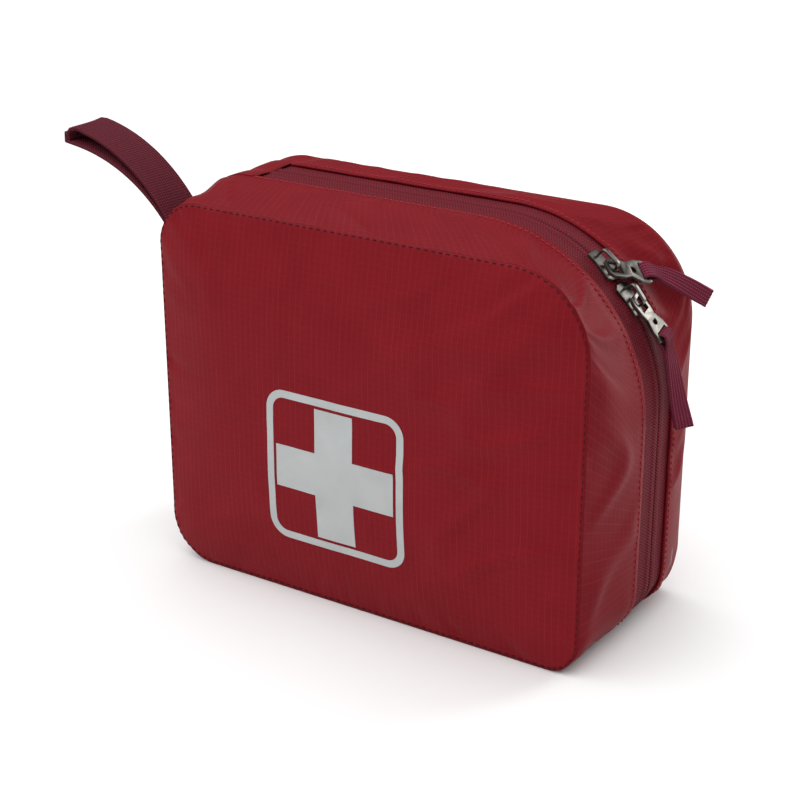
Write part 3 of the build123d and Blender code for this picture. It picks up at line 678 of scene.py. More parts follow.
def spine_strip():
    """The strip from one gusset to the other, with a shallow crease along its middle."""
    columns, around = hoop_columns(2.0)
    left = [c for c in columns if hoop_point(c[0], c[1], ZIP_Y).x <= ZIP_END_X + 2.0]
    start = next(n for n, c in enumerate(left) if c[0] >= 4)
    left = left[start:] + left[:start]
    low, high = FRONT_EDGE - SPINE_LAP, BACK_EDGE + SPINE_LAP
    rows = 12
    points, uv = [], []
    for stretch, share, run in left:
        run = run if stretch >= 4 else run + around
        for row in range(rows + 1):
            part = row / rows
            y = low + (high - low) * part
            at = hoop_point(stretch, share, min(max(y, FRONT_EDGE), BACK_EDGE))
            at.y = y
            out = seam_outward(stretch, share, ZIP_LINE)
            lift = 0.25 + 0.5 * math.sin(math.pi * part) * noise.noise(Vector((run / 18.0, part, 2.0)))
            lift -= 0.5 * math.exp(-(((part - 0.5) / 0.12) ** 2))
            if at.z < 2.0:
                lift = min(lift, 0.0)
            points.append(at + out * lift)
            uv.append((run, y))
    strip = to_mesh("spine_strip", points, sheet_faces(len(left), rows + 1), uv)
    face_away(strip)
    finish_modifier(strip, "SUBSURF", levels=1, render_levels=1)
    strip.data.materials.append(gusset_ripstop)
    strip.data.materials.append(grey_lining)
    line_inside(strip, 0.9)
    smooth(strip)
    return strip


spine = spine_strip()
hinge_x = -HALF_WIDTH * MM
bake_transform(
    spine,
    "front_shell",
    "back_shell",
    start=(hinge_x, FRONT_EDGE * MM, 0.5 * HEIGHT * MM),
    end=(hinge_x, BACK_EDGE * MM, 0.5 * HEIGHT * MM),
)
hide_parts("spine_front", "spine_back")

# ---- Zip -----------------------------------------------------------------------------------------
# Reverse-coil zip: a herringbone polyester tape on each side, sewn under the gussets, whose inner
# edges meet over the hidden coils. The coil lies under the tape, so the tape rises over it.
TAPE_INSET = 1.2
TAPE_THICK = 0.9
TAPE_LAP = 4.0
COIL_PITCH = 1.3
COIL_UNDER = 0.8  # from the tape down to the coil's middle


def herringbone_tape():
    """Polyester tape woven in a fine herringbone: slanted ribs 1.2 mm apart that turn every 0.9 mm."""
    material, tree, shader = new_material("burgundy herringbone polyester tape")
    parts = cloth_map(tree)[1]
    zigzag = reckon(tree, "PINGPONG", parts["Y"], 0.9)
    slanted = reckon(tree, "ADD", parts["X"], zigzag)
    ribs = reckon(tree, "PINGPONG", slanted, 0.6)
    rib = add(tree, "ShaderNodeMapRange", {"Value": ribs, "From Max": 0.6})
    paint(tree, shader, rib.outputs["Result"], "#3c0a12", "#781f2b")
    relief(tree, shader, rib.outputs["Result"], 0.6, 0.00025)
    dullness(tree, shader, rib.outputs["Result"], 0.8, 0.62)
    shader.inputs["Specular IOR Level"].default_value = 0.1
    return material


tape_cloth = herringbone_tape()
nylon_coil, tree, shader = new_material("burgundy nylon coil")
# Extruded nylon monofilament, smooth and a little glossy.
place = own_place(tree)
mottle = speckle(tree, place, 400.0)
paint(tree, shader, mottle, "#4d1420", "#6a2030")
dullness(tree, shader, mottle, 0.3, 0.42)


def zip_columns(step):
    """The hoop's columns along the zip alone, from its upper end round to its lower end."""
    columns = hoop_columns(step)[0]
    return [c for c in columns if c[0] < 5 and hoop_point(c[0], c[1], ZIP_Y).x >= ZIP_END_X]


def tape_piece(name, outer_y, side):
    """One tape: across it runs flat, then up over the coil and down at the closing line."""
    sign = 1 if side == "front" else -1
    closing = ZIP_Y - sign * 0.12
    start = outer_y - sign * TAPE_LAP
    width = abs(closing - start)
    across = [0.0, 0.3, 0.55] + [1 - d / width for d in (4.6, 3.9, 3.4, 2.8, 2.0, 1.2, 0.6, 0.25, 0.0)]
    points, uv, faces = [], [], []
    columns = zip_columns(2.0)
    for stretch, share, run in columns:
        out = seam_outward(stretch, share, ZIP_LINE)
        for part in across:
            y = start + (closing - start) * part
            gap = abs(y - closing)
            rise = 0.55 / (1 + math.exp((gap - 3.6) / 0.28))
            rise -= 0.75 * math.exp(-gap / 0.28)
            rise += 0.12 * noise.noise(Vector((run / 9.0, y / 6.0, 4.0)))
            in_mouth = min(max(y, FRONT_EDGE), BACK_EDGE)
            points.append(hoop_point(stretch, share, in_mouth, TAPE_INSET) + out * rise)
            points[-1].y = y
            uv.append((run, y))
    wide = len(across)
    for n in range(len(columns) - 1):
        for row in range(wide - 1):
            a = n * wide + row
            quad = (a, a + wide, a + wide + 1, a + 1)
            faces.append(quad if sign < 0 else quad[::-1])
    tape = to_mesh(name, points, faces, uv)
    face_away(tape)
    finish_modifier(tape, "SUBSURF", levels=1, render_levels=1)
    finish_modifier(tape, "SOLIDIFY", thickness=0.5 * MM, offset=-1)
    tape.data.materials.append(tape_cloth)
    smooth(tape)
    return tape


def tube(name, line, radius, sides):
    """A round tube along a list of points in millimetres."""
    points = []
    before_side = Vector((0, 1, 0))
    for n, at in enumerate(line):
        along = heading(line, n)
        side_way = (before_side - along * before_side.dot(along)).normalized()
        up_way = along.cross(side_way)
        before_side = side_way
        for turn in range(sides):
            angle = math.tau * turn / sides
            points.append(at + (side_way * math.cos(angle) + up_way * math.sin(angle)) * radius)
    return to_mesh(name, points, tube_faces(len(line), sides))


def coil_piece(name, side):
    """The coil that the slider joins: a flattened helix sewn along the tape's inner edge."""
    sign = 1 if side == "front" else -1
    columns = zip_columns(COIL_PITCH)
    turns = 6
    line = []
    for n in range(len(columns) - 1):
        here, ahead = columns[n][:2], columns[n + 1][:2]
        out = seam_outward(*here, ZIP_LINE)
        a = hoop_point(*here, ZIP_Y, TAPE_INSET + TAPE_THICK + COIL_UNDER)
        b = hoop_point(*ahead, ZIP_Y, TAPE_INSET + TAPE_THICK + COIL_UNDER)
        for turn in range(turns):
            angle = math.tau * turn / turns
            at = a.lerp(b, turn / turns)
            reach = 1.35 * math.cos(angle)
            line.append(at + Vector((0, -sign * 1.5 + sign * reach, 0)) + out * 0.55 * math.sin(angle))
    coil = tube(name, line, 0.28, 4)
    coil.data.materials.append(nylon_coil)
    smooth(coil)
    return coil


for side, outer_y in (("front", FRONT_EDGE), ("back", BACK_EDGE)):
    tape = tape_piece(f"{side}_zip_tape_woven", outer_y, side)
    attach(tape, f"{side}_shell")
    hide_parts(f"{side}_zip_tape")
    coil = coil_piece(f"{side}_zip_coil_nylon", side)
    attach(coil, f"{side}_shell")
    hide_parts(f"{side}_zip_coil")

# ---- Stitching -----------------------------------------------------------------------------------
# Lockstitch in bonded polyester thread: dark red along the two seams, a darkness that is partly
# painted shade of the seam's groove, and a paler red row that holds each gusset's folded edge
# to the zip tape.
EDGE_STITCH_IN = 2.0  # from the folded edge to its topstitching
SEAM_STITCH_IN = TUCK + 0.5  # from the outline to the stitches that show beside a seam


def sewing_thread(name, dark, light):
    """Twisted, bonded thread with a slight gloss; its twist shows as fine slanted bands."""
    material, tree, shader = new_material(name)
    place = own_place(tree)
    twist = add(tree, "ShaderNodeTexWave", {"Vector": place, "Scale": 700.0, "Distortion": 1.0})
    paint(tree, shader, twist.outputs["Fac"], dark, light)
    relief(tree, shader, twist.outputs["Fac"], 0.4, 0.0001)
    shader.inputs["Roughness"].default_value = 0.6
    shader.inputs["Specular IOR Level"].default_value = 0.15
    return material


# the seam thread's dark red is partly its own colour and partly painted shade of the seam's groove
seam_thread_shaded = sewing_thread("dark red bonded thread with painted seam shade", "#30070d", "#4c0e16")
top_thread = sewing_thread("red bonded thread", "#7c1a22", "#b03a42")


def stitch_row(name, spots, radius, material):
    """A row of stitches: each lies between two spots, fat in its middle and sunk at its ends."""
    points, faces = [], []
    sides = 5
    profile = ((0.0, 0.25), (0.25, 0.95), (0.75, 0.95), (1.0, 0.25))
    for a, b, out in spots:
        along = (b - a).normalized()
        side_way = along.cross(out).normalized()
        base = len(points)
        for share, fat in profile:
            centre = a.lerp(b, share) + out * (fat - 0.6) * radius
            for turn in range(sides):
                angle = math.tau * turn / sides
                points.append(centre + (side_way * math.cos(angle) + out * math.sin(angle)) * radius * fat)
        faces += tube_faces(len(profile), sides, base)
    row = to_mesh(name, points, faces)
    row.data.materials.append(material)
    smooth(row)
    return row


def on_cloth(piece, at, out, lift):
    """The point where a line from outside meets the cloth, a little above it; both in mm."""
    hit, where = piece.ray_cast((at + out * 12) * MM, -out)[:2]
    return (where / MM + out * lift) if hit else at


def seam_row(name, line, panel, pitch, out_y):
    """Stitches that show on the panel's rim beside the seam, all round it."""
    spots = []
    out = Vector((0, out_y, 0))
    y = FRONT_SEAM if out_y < 0 else BACK_SEAM
    lengths = stretch_lengths(line)
    for stretch, length in enumerate(lengths):
        count = max(1, round(length / pitch))
        for n in range(count):
            a = round_at(line, stretch, (n + 0.12) / count, SEAM_STITCH_IN)
            b = round_at(line, stretch, (n + 0.82) / count, SEAM_STITCH_IN)
            a = on_cloth(panel, Vector((a[0], y, a[1])), out, 0.0)
            b = on_cloth(panel, Vector((b[0], y, b[1])), out, 0.0)
            spots.append((a, b, out))
    return stitch_row(name, spots, 0.24, seam_thread_shaded)


def edge_row(name, piece, y, pitch=2.4, radius=0.3):
    """Topstitching along a gusset's folded edge, down on the cloth."""
    columns = zip_columns(pitch)
    spots = []
    for n in range(len(columns) - 1):
        here, ahead = columns[n][:2], columns[n + 1][:2]
        out = seam_outward(*here, ZIP_LINE)
        a, b = hoop_point(*here, y), hoop_point(*ahead, y)
        a = on_cloth(piece, a, out, 0.05)
        b = on_cloth(piece, b, out, 0.05)
        spots.append((a.lerp(b, 0.1), a.lerp(b, 0.8), out))
    return stitch_row(name, spots, radius, top_thread)


front_seam_row = seam_row("front_seam_stitches", FRONT_LINE, front_cloth, pitch=3.0, out_y=-1)
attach(front_seam_row, "front_shell")
back_seam_row = seam_row("back_seam_stitches", BACK_LINE, back_cloth, pitch=3.0, out_y=1)
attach(back_seam_row, "back_shell")
front_edge_row = edge_row("front_zip_topstitch", front_side, FRONT_EDGE - EDGE_STITCH_IN)
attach(front_edge_row, "front_shell")
back_edge_row = edge_row("back_zip_topstitch", back_side, BACK_EDGE + EDGE_STITCH_IN)
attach(back_edge_row, "back_shell")

# ---- Print ---------------------------------------------------------------------------------------
# Silver-grey screen print on the front: a rounded frame with an upright cross in it. The ink is a
# thin rubbery film that follows the cloth.
FRAME_STROKE = 3.0
FRAME_CORNER = 8.0
CROSS_ARM = 17.0
INK_LIFT = 0.12
CROSS_CELLS = 42  # along each side of the grid that the cross is cut from

ink, tree, shader = new_material("silver-grey screen print ink")
# Plastisol ink: matt, faintly pebbled where the ripstop's threads print through.
place = own_place(tree)
pebbles = speckle(tree, place, 1500.0, 2.0)
wear = speckle(tree, place, 90.0, 3.0)
paint(tree, shader, wear, "#a4a7a7", "#b8bbbb")
relief(tree, shader, pebbles, 0.3, 0.0001)
shader.inputs["Roughness"].default_value = 0.55


def lay_on_panel(piece):
    """Drops a flat print on to the front panel's cloth, in front of it by the ink's thickness."""
    for vertex in piece.data.vertices:
        start = Vector((vertex.co.x, (FRONT_FACE - 30) * MM, vertex.co.z))
        hit, where = front_cloth.ray_cast(start, Vector((0, 1, 0)))[:2]
        vertex.co.y = (where.y if hit else FRONT_FACE * MM) - INK_LIFT * MM
    piece.data.update()


frame_low, frame_high = box_mm("print_frame")
cross_low, cross_high = box_mm("print_cross")
frame_size = frame_high.x - frame_low.x
centre_x, centre_z = (frame_low.x + frame_high.x) / 2, (frame_low.z + frame_high.z) / 2
points, faces = [], []
ring_line = (frame_size / 2, frame_size, (FRAME_CORNER,) * 4)
rings, sections = 4, 16
for stretch in range(8):
    for n in range(sections):
        for ring in range(rings + 1):
            x, z = round_at(ring_line, stretch, n / sections, FRAME_STROKE * ring / rings)
            points.append((x + centre_x, FRONT_FACE, z + frame_low.z))
total = 8 * sections
for n in range(total):
    for ring in range(rings):
        a, b = n * (rings + 1) + ring, ((n + 1) % total) * (rings + 1) + ring
        faces.append((a, a + 1, b + 1, b))
printed_frame = to_mesh("print_frame_ink", points, faces)

bpy.ops.object.select_all(action="DESELECT")
span = cross_high.x - cross_low.x
bpy.ops.mesh.primitive_grid_add(
    x_subdivisions=CROSS_CELLS,
    y_subdivisions=CROSS_CELLS,
    size=span * MM,
    location=(centre_x * MM, FRONT_FACE * MM, centre_z * MM),
    rotation=(math.pi / 2, 0, 0),
)
printed_cross = bpy.context.object
printed_cross.name = "print_cross_ink"
bpy.ops.object.transform_apply()
# the grid's lines nearest the arm's edges move on to them, and what lies outside the arms goes
cell = span / CROSS_CELLS
for vertex in printed_cross.data.vertices:
    for axis, middle in ((0, centre_x), (2, centre_z)):
        off = vertex.co[axis] / MM - middle
        if abs(abs(off) - CROSS_ARM / 2) < cell / 2:
            vertex.co[axis] = (middle + math.copysign(CROSS_ARM / 2, off)) * MM
bpy.ops.object.mode_set(mode="EDIT")
bpy.ops.mesh.select_all(action="DESELECT")
bpy.ops.mesh.select_mode(type="FACE")
bpy.ops.object.mode_set(mode="OBJECT")
for polygon in printed_cross.data.polygons:
    dx = abs(polygon.center.x / MM - centre_x)
    dz = abs(polygon.center.z / MM - centre_z)
    polygon.select = min(dx, dz) > CROSS_ARM / 2
bpy.ops.object.mode_set(mode="EDIT")
bpy.ops.mesh.delete(type="FACE")
bpy.ops.object.mode_set(mode="OBJECT")
for piece, node in ((printed_frame, "print_frame"), (printed_cross, "print_cross")):
    lay_on_panel(piece)
    if sum(p.normal.y for p in piece.data.polygons) > 0:
        piece.data.flip_normals()
    finish_modifier(piece, "SOLIDIFY", thickness=0.1 * MM, offset=-1)
    piece.data.materials.append(ink)
    smooth(piece, 30)
    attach(piece, "front_shell")
    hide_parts(node)

# ---- Sliders -------------------------------------------------------------------------------------
# Two cast zinc sliders, dark nickel plated, nose to nose on the corner: a body that wraps both
# coils, a hooded crown, and a flat tab that hangs from the crown.

nickel, tree, shader = new_material("dark nickel plated zinc")
# Barrel plated: a satin grey with darker hollows, fine scuffs, and brighter worn high spots.
place = own_place(tree)
scuff = speckle(tree, place, 700.0, 4.0)
worn = add(tree, "ShaderNodeNewGeometry")
spots = {"Value": worn.outputs["Pointiness"], "From Min": 0.48, "From Max": 0.56}
high = add(tree, "ShaderNodeMapRange", spots)
paint(tree, shader, high.outputs["Result"], "#3b3936", "#75726c")
dullness(tree, shader, scuff, 0.26, 0.46)
relief(tree, shader, scuff, 0.12, 0.0001)
shader.inputs["Metallic"].default_value = 1.0


def eased_copy(node, name, ease):
    """A merged copy of a CAD node with its edges rounded as a casting's are."""
    bpy.ops.object.select_all(action="DESELECT")
    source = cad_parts[node]
    copy = bpy.data.objects.new(name, source.data.copy())
    copy.data.materials.clear()
    for key in [a.name for a in copy.data.attributes if a.name.startswith("custom")]:
        copy.data.attributes.remove(copy.data.attributes[key])
    bpy.context.collection.objects.link(copy)
    only(copy)
    bpy.ops.object.mode_set(mode="EDIT")
    bpy.ops.mesh.select_all(action="SELECT")
    bpy.ops.mesh.customdata_custom_splitnormals_clear()
    bpy.ops.mesh.remove_doubles(threshold=0.00001)
    bpy.ops.mesh.dissolve_limited(angle_limit=math.radians(4))
    bpy.ops.mesh.normals_make_consistent(inside=False)
    bpy.ops.object.mode_set(mode="OBJECT")
    finish_modifier(
        copy, "BEVEL", width=ease * MM, segments=3, limit_method="ANGLE", angle_limit=math.radians(32)
    )
    smooth(copy, 40)
    return copy


SLIDER_ANGLES = {"upper": 38.5, "lower": 51.49}  # degrees past the top of the corner
CROWN_WIDE = 2.6
CROWN_THICK = 1.05
SWEEP = Vector((HALF_WIDTH - ZIP_LINE[2][1], ZIP_Y, HEIGHT - ZIP_LINE[2][1]))
SWEEP_RADIUS = ZIP_LINE[2][1] - TAPE_INSET


def crown_piece(name, node, angle):
    """The crown as cast: a broad rounded strap that arches from the slider's nose to its tail."""
    place = Matrix.Translation(SWEEP) @ Matrix.Rotation(math.radians(angle), 4, "Y")
    source = [place.inverted() @ (vertex.co / MM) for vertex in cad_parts[node].data.vertices]
    left, right = min(v.x for v in source), max(v.x for v in source)
    low, high = min(v.z for v in source), max(v.z for v in source)
    half = (right - left) / 2 - CROWN_THICK / 2
    tall = high - low - CROWN_THICK / 2
    count, sides = 32, 14
    points = []
    for n in range(count + 1):
        turn = math.pi * n / count
        ahead = (abs(math.cos(turn)) ** 0.3 * (1 if turn < math.pi / 2 else -1), math.sin(turn) ** 0.36)
        at = Vector(((left + right) / 2 + half * ahead[0], 0, low + tall * ahead[1]))
        lean = Vector((math.cos(turn) / half, 0, max(math.sin(turn), 0.02) / tall)).normalized()
        broad = CROWN_WIDE / 2 * (0.5 + 0.5 * math.sin(turn))
        for m in range(sides):
            around = math.tau * m / sides
            c, d = math.cos(around), math.sin(around)
            sideways = broad * abs(c) ** 0.6 * (1 if c > 0 else -1)
            thick = CROWN_THICK / 2 * abs(d) ** 0.75 * (1 if d > 0 else -1)
            points.append(place @ (at + Vector((0, sideways, 0)) + lean * thick))
    crown = to_mesh(name, points, tube_faces(count + 1, sides))
    turn_faces_out(crown)
    smooth(crown, 50)
    return crown


for side in ("upper", "lower"):
    # a crown has no easing: it is drawn afresh
    for node, body, ease in (
        (f"{side}_slider_body", f"{side}_slider", 0.32),
        (f"{side}_slider_crown", f"{side}_slider", None),
        (f"{side}_pull_tab", f"{side}_tab", 0.28),
    ):
        if ease is None:
            casting = crown_piece(f"{node}_cast", node, SLIDER_ANGLES[side])
        else:
            casting = eased_copy(node, f"{node}_cast", ease)
        casting.data.materials.append(nickel)
        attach(casting, body)
        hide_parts(node)

# ---- Pull webbing --------------------------------------------------------------------------------
# A short length of 7 mm webbing is looped through each tab and sewn to itself. It is woven in
# lengthwise cords, so its face is ribbed.
CROWN_LEG_AT = 3.85
TAB_HEIGHT = 3.35
TAB_BAR_AT = 13.9
PULL_WIDE = 7.0
PULL_PLY = 0.9
PULL_ROUND_BAR = 1.5


def webbing(name, cord_width, along_pitch, dark, light):
    """Polyester webbing: cords side by side, each a row of slanted floats, soft and matt. Its colour
    is darker in the grooves and lighter on the crowns: painted shade and painted highlight.
    """
    material, tree, shader = new_material(name)
    weave, parts = cloth_map(tree)
    cords = reckon(tree, "PINGPONG", parts["X"], cord_width / 2)
    cord = add(tree, "ShaderNodeMapRange", {"Value": cords, "From Max": cord_width / 2})
    shift = reckon(tree, "MULTIPLY", cords, 0.9)
    slant = reckon(tree, "ADD", parts["Y"], shift)
    floats = reckon(tree, "PINGPONG", slant, along_pitch / 2)
    float_high = add(tree, "ShaderNodeMapRange", {"Value": floats, "From Max": along_pitch / 2})
    height = reckon(tree, "MULTIPLY", cord.outputs["Result"], float_high.outputs["Result"])
    fibre = speckle(tree, weave, 6.0, 3.0)
    fuzz = reckon(tree, "MULTIPLY", fibre, 0.35)
    height_and_painted_shade = reckon(tree, "ADD", height, fuzz)
    # the ribbed pattern is the webbing's own; its dark grooves are painted shade, its light crowns painted
    # highlight
    paint(tree, shader, height_and_painted_shade, dark, light)
    relief(tree, shader, height_and_painted_shade, 0.9, 0.0004)
    dullness(tree, shader, height_and_painted_shade, 0.85, 0.6)
    shader.inputs["Sheen Weight"].default_value = 0.12
    shader.inputs["Sheen Roughness"].default_value = 0.4
    shader.inputs["Sheen Tint"].default_value = linear("#b0607a")
    shader.inputs["Specular IOR Level"].default_value = 0.12
    return material


pull_weave = webbing("burgundy ribbed pull webbing", 1.15, 0.9, dark="#400f1c", light="#9a3c54")
loop_weave = webbing("burgundy carry webbing", 1.25, 1.1, dark="#340c15", light="#7a2a38")


def strap(name, stations, wide, thick, cords, material):
    """Webbing along its stations, each (point, side way, face way, share of the full width)."""
    across = cords * 4
    points, uv, faces = [], [], []
    run, last = 0.0, None
    for at, side_way, face_way, share in stations:
        run += (at - last).length if last is not None else 0.0
        last = at
        for layer in (1, -1):
            for n in range(across + 1):
                u = n / across - 0.5
                cord = 0.12 * math.cos(math.tau * u * cords + math.pi)
                edge = max(0.0, 1 - ((abs(u) - 0.44) / 0.06) ** 2) if abs(u) > 0.44 else 1.0
                half_thick = thick / 2 * (0.35 + 0.65 * math.sqrt(edge)) + cord
                points.append(at + side_way * u * wide * share + face_way * half_thick * layer)
                uv.append((u * wide + (0 if layer > 0 else 40), run))
    width = across + 1
    ring = 2 * width
    for n in range(len(stations) - 1):
        a = n * ring
        for m in range(across):
            faces.append((a + m, a + m + 1, a + ring + m + 1, a + ring + m))
            low = a + width + m
            faces.append((low + 1, low, low + ring, low + ring + 1))
        faces.append((a + width, a, a + ring, a + ring + width))
        faces.append((a + across, a + width + across, a + ring + width + across, a + ring + across))
    for a, turn in ((0, 1), ((len(stations) - 1) * ring, -1)):
        for m in range(across):
            quad = (a + m, a + width + m, a + width + m + 1, a + m + 1)
            faces.append(quad[::turn])
    piece = to_mesh(name, points, faces, uv)
    turn_faces_out(piece)
    piece.data.materials.append(material)
    smooth(piece)
    return piece


def pull_piece(name, angle, turn, tab_lift, lift, length, skew, droop, twist):
    """One pull: from the tail's end up, round the tab's bar, and back beneath itself."""
    place = (
        Matrix.Translation(SWEEP)
        @ Matrix.Rotation(math.radians(angle), 4, "Y")
        @ Matrix.Translation((CROWN_LEG_AT, 0, SWEEP_RADIUS + TAB_HEIGHT))
        @ Matrix.Rotation(math.radians(turn), 4, "Z")
        @ Matrix.Rotation(math.radians(-tab_lift), 4, "Y")
        @ Matrix.Translation((TAB_BAR_AT, 0, 0))
        @ Matrix.Rotation(math.radians(-lift), 4, "Y")
    )
    drift = math.tan(math.radians(skew))
    neck = 4.7
    middle = []
    steps = 22
    far = neck + (length - neck) * math.cos(math.radians(skew))
    sag = 0.5

    def ply(x, layer):
        """Centre of one ply at a distance from the bar: parted at the bar, together at the neck."""
        apart = PULL_ROUND_BAR * math.exp(-((x / 3.1) ** 2.2)) + PULL_PLY / 2
        wave = sag * math.sin(x / 5.5) * min(x / neck, 1.0)
        aside = max(x - neck * 0.6, 0.0) * drift
        return Vector((x, aside, layer * max(apart, PULL_PLY / 2 + 0.02) + wave * 0.6))

    for n in range(steps + 1):
        middle.append(ply(far - (far - 1.0) * n / steps, 1))
    for n in range(1, 9):
        bend = math.pi * (0.5 + n / 9)
        round_bar = Vector((math.cos(bend) * 1.15, 0, math.sin(bend) * 1.25))
        middle.append(round_bar * PULL_ROUND_BAR)
    for n in range(steps + 1):
        middle.append(ply(1.0 + (far - 1.2) * n / steps, -1))
    stations = []
    for n, at in enumerate(middle):
        along = heading(middle, n)
        side_way = Vector((0, 1, 0))
        side_way = (side_way - along * side_way.dot(along)).normalized()
        face_way = along.cross(side_way)
        near = math.exp(-((max(at.x, 0.0) - 4.4) / 2.2) ** 2)
        share = 1.0 - 0.17 * near
        reach = min(max((at.x - 3.0) / (far - 3.0), 0.0), 1.0)
        roll = Matrix.Rotation(math.radians(twist) * reach, 3, "X")
        centre = Vector((at.x, at.y, 0))
        at = centre + roll @ (at - centre)
        turn_in = place.to_3x3()
        sunk = Vector((0, 0, -droop * reach**1.6))
        stations.append((place @ at + sunk, turn_in @ roll @ side_way, turn_in @ roll @ face_way, share))
    return strap(name, stations, PULL_WIDE, PULL_PLY, 6, pull_weave)


# the upper pull lies out over the back shell and droops; the lower one hangs
PULLS = {
    "upper": dict(turn=60.0, tab_lift=4.0, lift=11.0, length=25.0, skew=-20.0, droop=4.5, twist=62.0),
    "lower": dict(turn=12.0, tab_lift=0.0, lift=-24.0, length=35.0, skew=-8.0, droop=0.0, twist=52.0),
}
for side, lie in PULLS.items():
    pull = pull_piece(f"{side}_pull_webbing_woven", SLIDER_ANGLES[side], **lie)
    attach(pull, f"{side}_webbing")
    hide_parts(f"{side}_pull_webbing")

# ---- Carry loop ----------------------------------------------------------------------------------
# 20 mm polyester webbing folded in half, its ends sewn into the gusset at the top left. It stands
# up and outwards, and its two plies part towards the fold.
loop_low, loop_high = box_mm("carry_loop")
LOOP_ROOT = Vector((-HALF_WIDTH - 0.1, 0, 138.0))
LOOP_TIP = Vector((-144.0, 0, 166.0))
LOOP_PLY = 1.3
LOOP_BOW = 5.0
LOOP_IN = 5.0  # sewn inside the gusset
LOOP_BEND = 2.4  # the inner radius of its fold
LOOP_STEPS = 26


def carry_piece():
    """The loop: out along its upper ply, round the fold, and back along its lower ply."""
    along = (LOOP_TIP - LOOP_ROOT).normalized()
    across = Vector((along.z, 0, -along.x))
    if across.z < 0:
        across = -across
    mid_y = (loop_low.y + loop_high.y) / 2
    span = (LOOP_TIP - LOOP_ROOT).length
    fold = span - LOOP_BEND - LOOP_PLY

    def ply(share, layer):
        """Centre of a ply at a share of the way to the fold."""
        bow = LOOP_BOW * (1 - (2 * share - 1) ** 2) if share > 0 else LOOP_BOW * 4 * share
        gap = 0.15 + 2.25 * max(share, 0.0) ** 1.6
        at = LOOP_ROOT + along * fold * share + across * (bow + layer * (gap + LOOP_PLY / 2))
        at.y = mid_y + 0.8 * math.sin(share * 2.2) * layer
        return at

    sewn = LOOP_IN / fold
    middle = [ply(-sewn + (1 + sewn) * n / LOOP_STEPS, 1) for n in range(LOOP_STEPS + 1)]
    end = ply(1.0, 0)
    radius = LOOP_BEND + LOOP_PLY / 2
    slope = (ply(1.0, 0) - ply(0.98, 0)).normalized()
    slope_up = Vector((slope.z, 0, -slope.x))
    if slope_up.z < 0:
        slope_up = -slope_up
    for n in range(1, 10):
        bend = math.pi * (0.5 - n / 10)
        middle.append(end + slope * radius * math.cos(bend) * 1.05 + slope_up * radius * math.sin(bend))
    middle += [ply(1 - (1 + sewn) * n / LOOP_STEPS, -1) for n in range(LOOP_STEPS + 1)]
    stations = []
    for n, at in enumerate(middle):
        forward = heading(middle, n)
        side_way = Vector((0, 1, 0))
        side_way = (side_way - forward * side_way.dot(forward)).normalized()
        stations.append((at, side_way, forward.cross(side_way), 1.0))
    return strap("carry_loop_woven", stations, loop_high.y - loop_low.y, LOOP_PLY, 16, loop_weave)


carry = carry_piece()
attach(carry, "carry_loop")
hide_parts("carry_loop")
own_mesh(carry)

# ---- Inner pockets and bindings --------------------------------------------------------------------
# Each raw seam is bound with grey tape. The front shell has a mesh pocket, the back shell a lined
# divider with a clear sleeve on it, and both pockets are hemmed with the same tape.
LINING_INSET = 2.1

bias_tape, tree, shader = new_material("dark grey bias tape")
# Plain-woven polyester tape, matt, its weft just visible.
place = own_place(tree)
weft = add(tree, "ShaderNodeTexWave", {"Vector": place, "Scale": 260.0, "Distortion": 2.0})
paint(tree, shader, weft.outputs["Fac"], "#2c2d31", "#44464b")
relief(tree, shader, weft.outputs["Fac"], 0.35, 0.0002)
shader.inputs["Roughness"].default_value = 0.8

knit_mesh, tree, shader = new_material("charcoal knitted mesh")
# Warp-knitted polyester with round openings 2.4 mm apart in offset rows; the openings are clear.
parts = cloth_map(tree)[1]
holes = []
for shift in (0.0, 1.2):
    moved_x = reckon(tree, "ADD", parts["X"], shift)
    moved_y = reckon(tree, "ADD", parts["Y"], shift)
    near_x = reckon(tree, "PINGPONG", moved_x, 1.2)
    near_y = reckon(tree, "PINGPONG", moved_y, 1.2)
    square_x = reckon(tree, "POWER", near_x, 2.0)
    square_y = reckon(tree, "POWER", near_y, 2.0)
    holes.append(reckon(tree, "ADD", square_x, square_y))
nearest = reckon(tree, "MINIMUM", holes[0], holes[1])
yarn = add(tree, "ShaderNodeMapRange", {"Value": nearest, "From Min": 0.3, "From Max": 0.42})
tree.links.new(yarn.outputs["Result"], shader.inputs["Alpha"])
paint(tree, shader, nearest, "#1c1d20", "#3b3d42")
relief(tree, shader, nearest, 0.5, 0.0003)
shader.inputs["Roughness"].default_value = 0.75

clear_vinyl, tree, shader = new_material("clear vinyl film")
# Calendered PVC: glossy, a little cloudy, with shallow waves from being sewn in.
place = own_place(tree)
waves = speckle(tree, place, 45.0)
relief(tree, shader, waves, 0.3, 0.0008)
dullness(tree, shader, waves, 0.06, 0.16)
shader.inputs["Base Color"].default_value = linear("#e9eff2")
shader.inputs["Alpha"].default_value = 0.28


def side_limits(z, inset):
    """Where the zip's outline, drawn in, is at a height: its left and right."""
    half, top, (tl, tr, br, bl) = ZIP_LINE
    limits = []
    for sign, high, low in ((-1, tl, bl), (1, tr, br)):
        x = half - inset
        if z > top - high:
            x = half - high + math.sqrt(max((high - inset) ** 2 - (z - top + high) ** 2, 0.0))
        elif z < low:
            x = half - low + math.sqrt(max((low - inset) ** 2 - (low - z) ** 2, 0.0))
        limits.append(sign * x)
    return limits


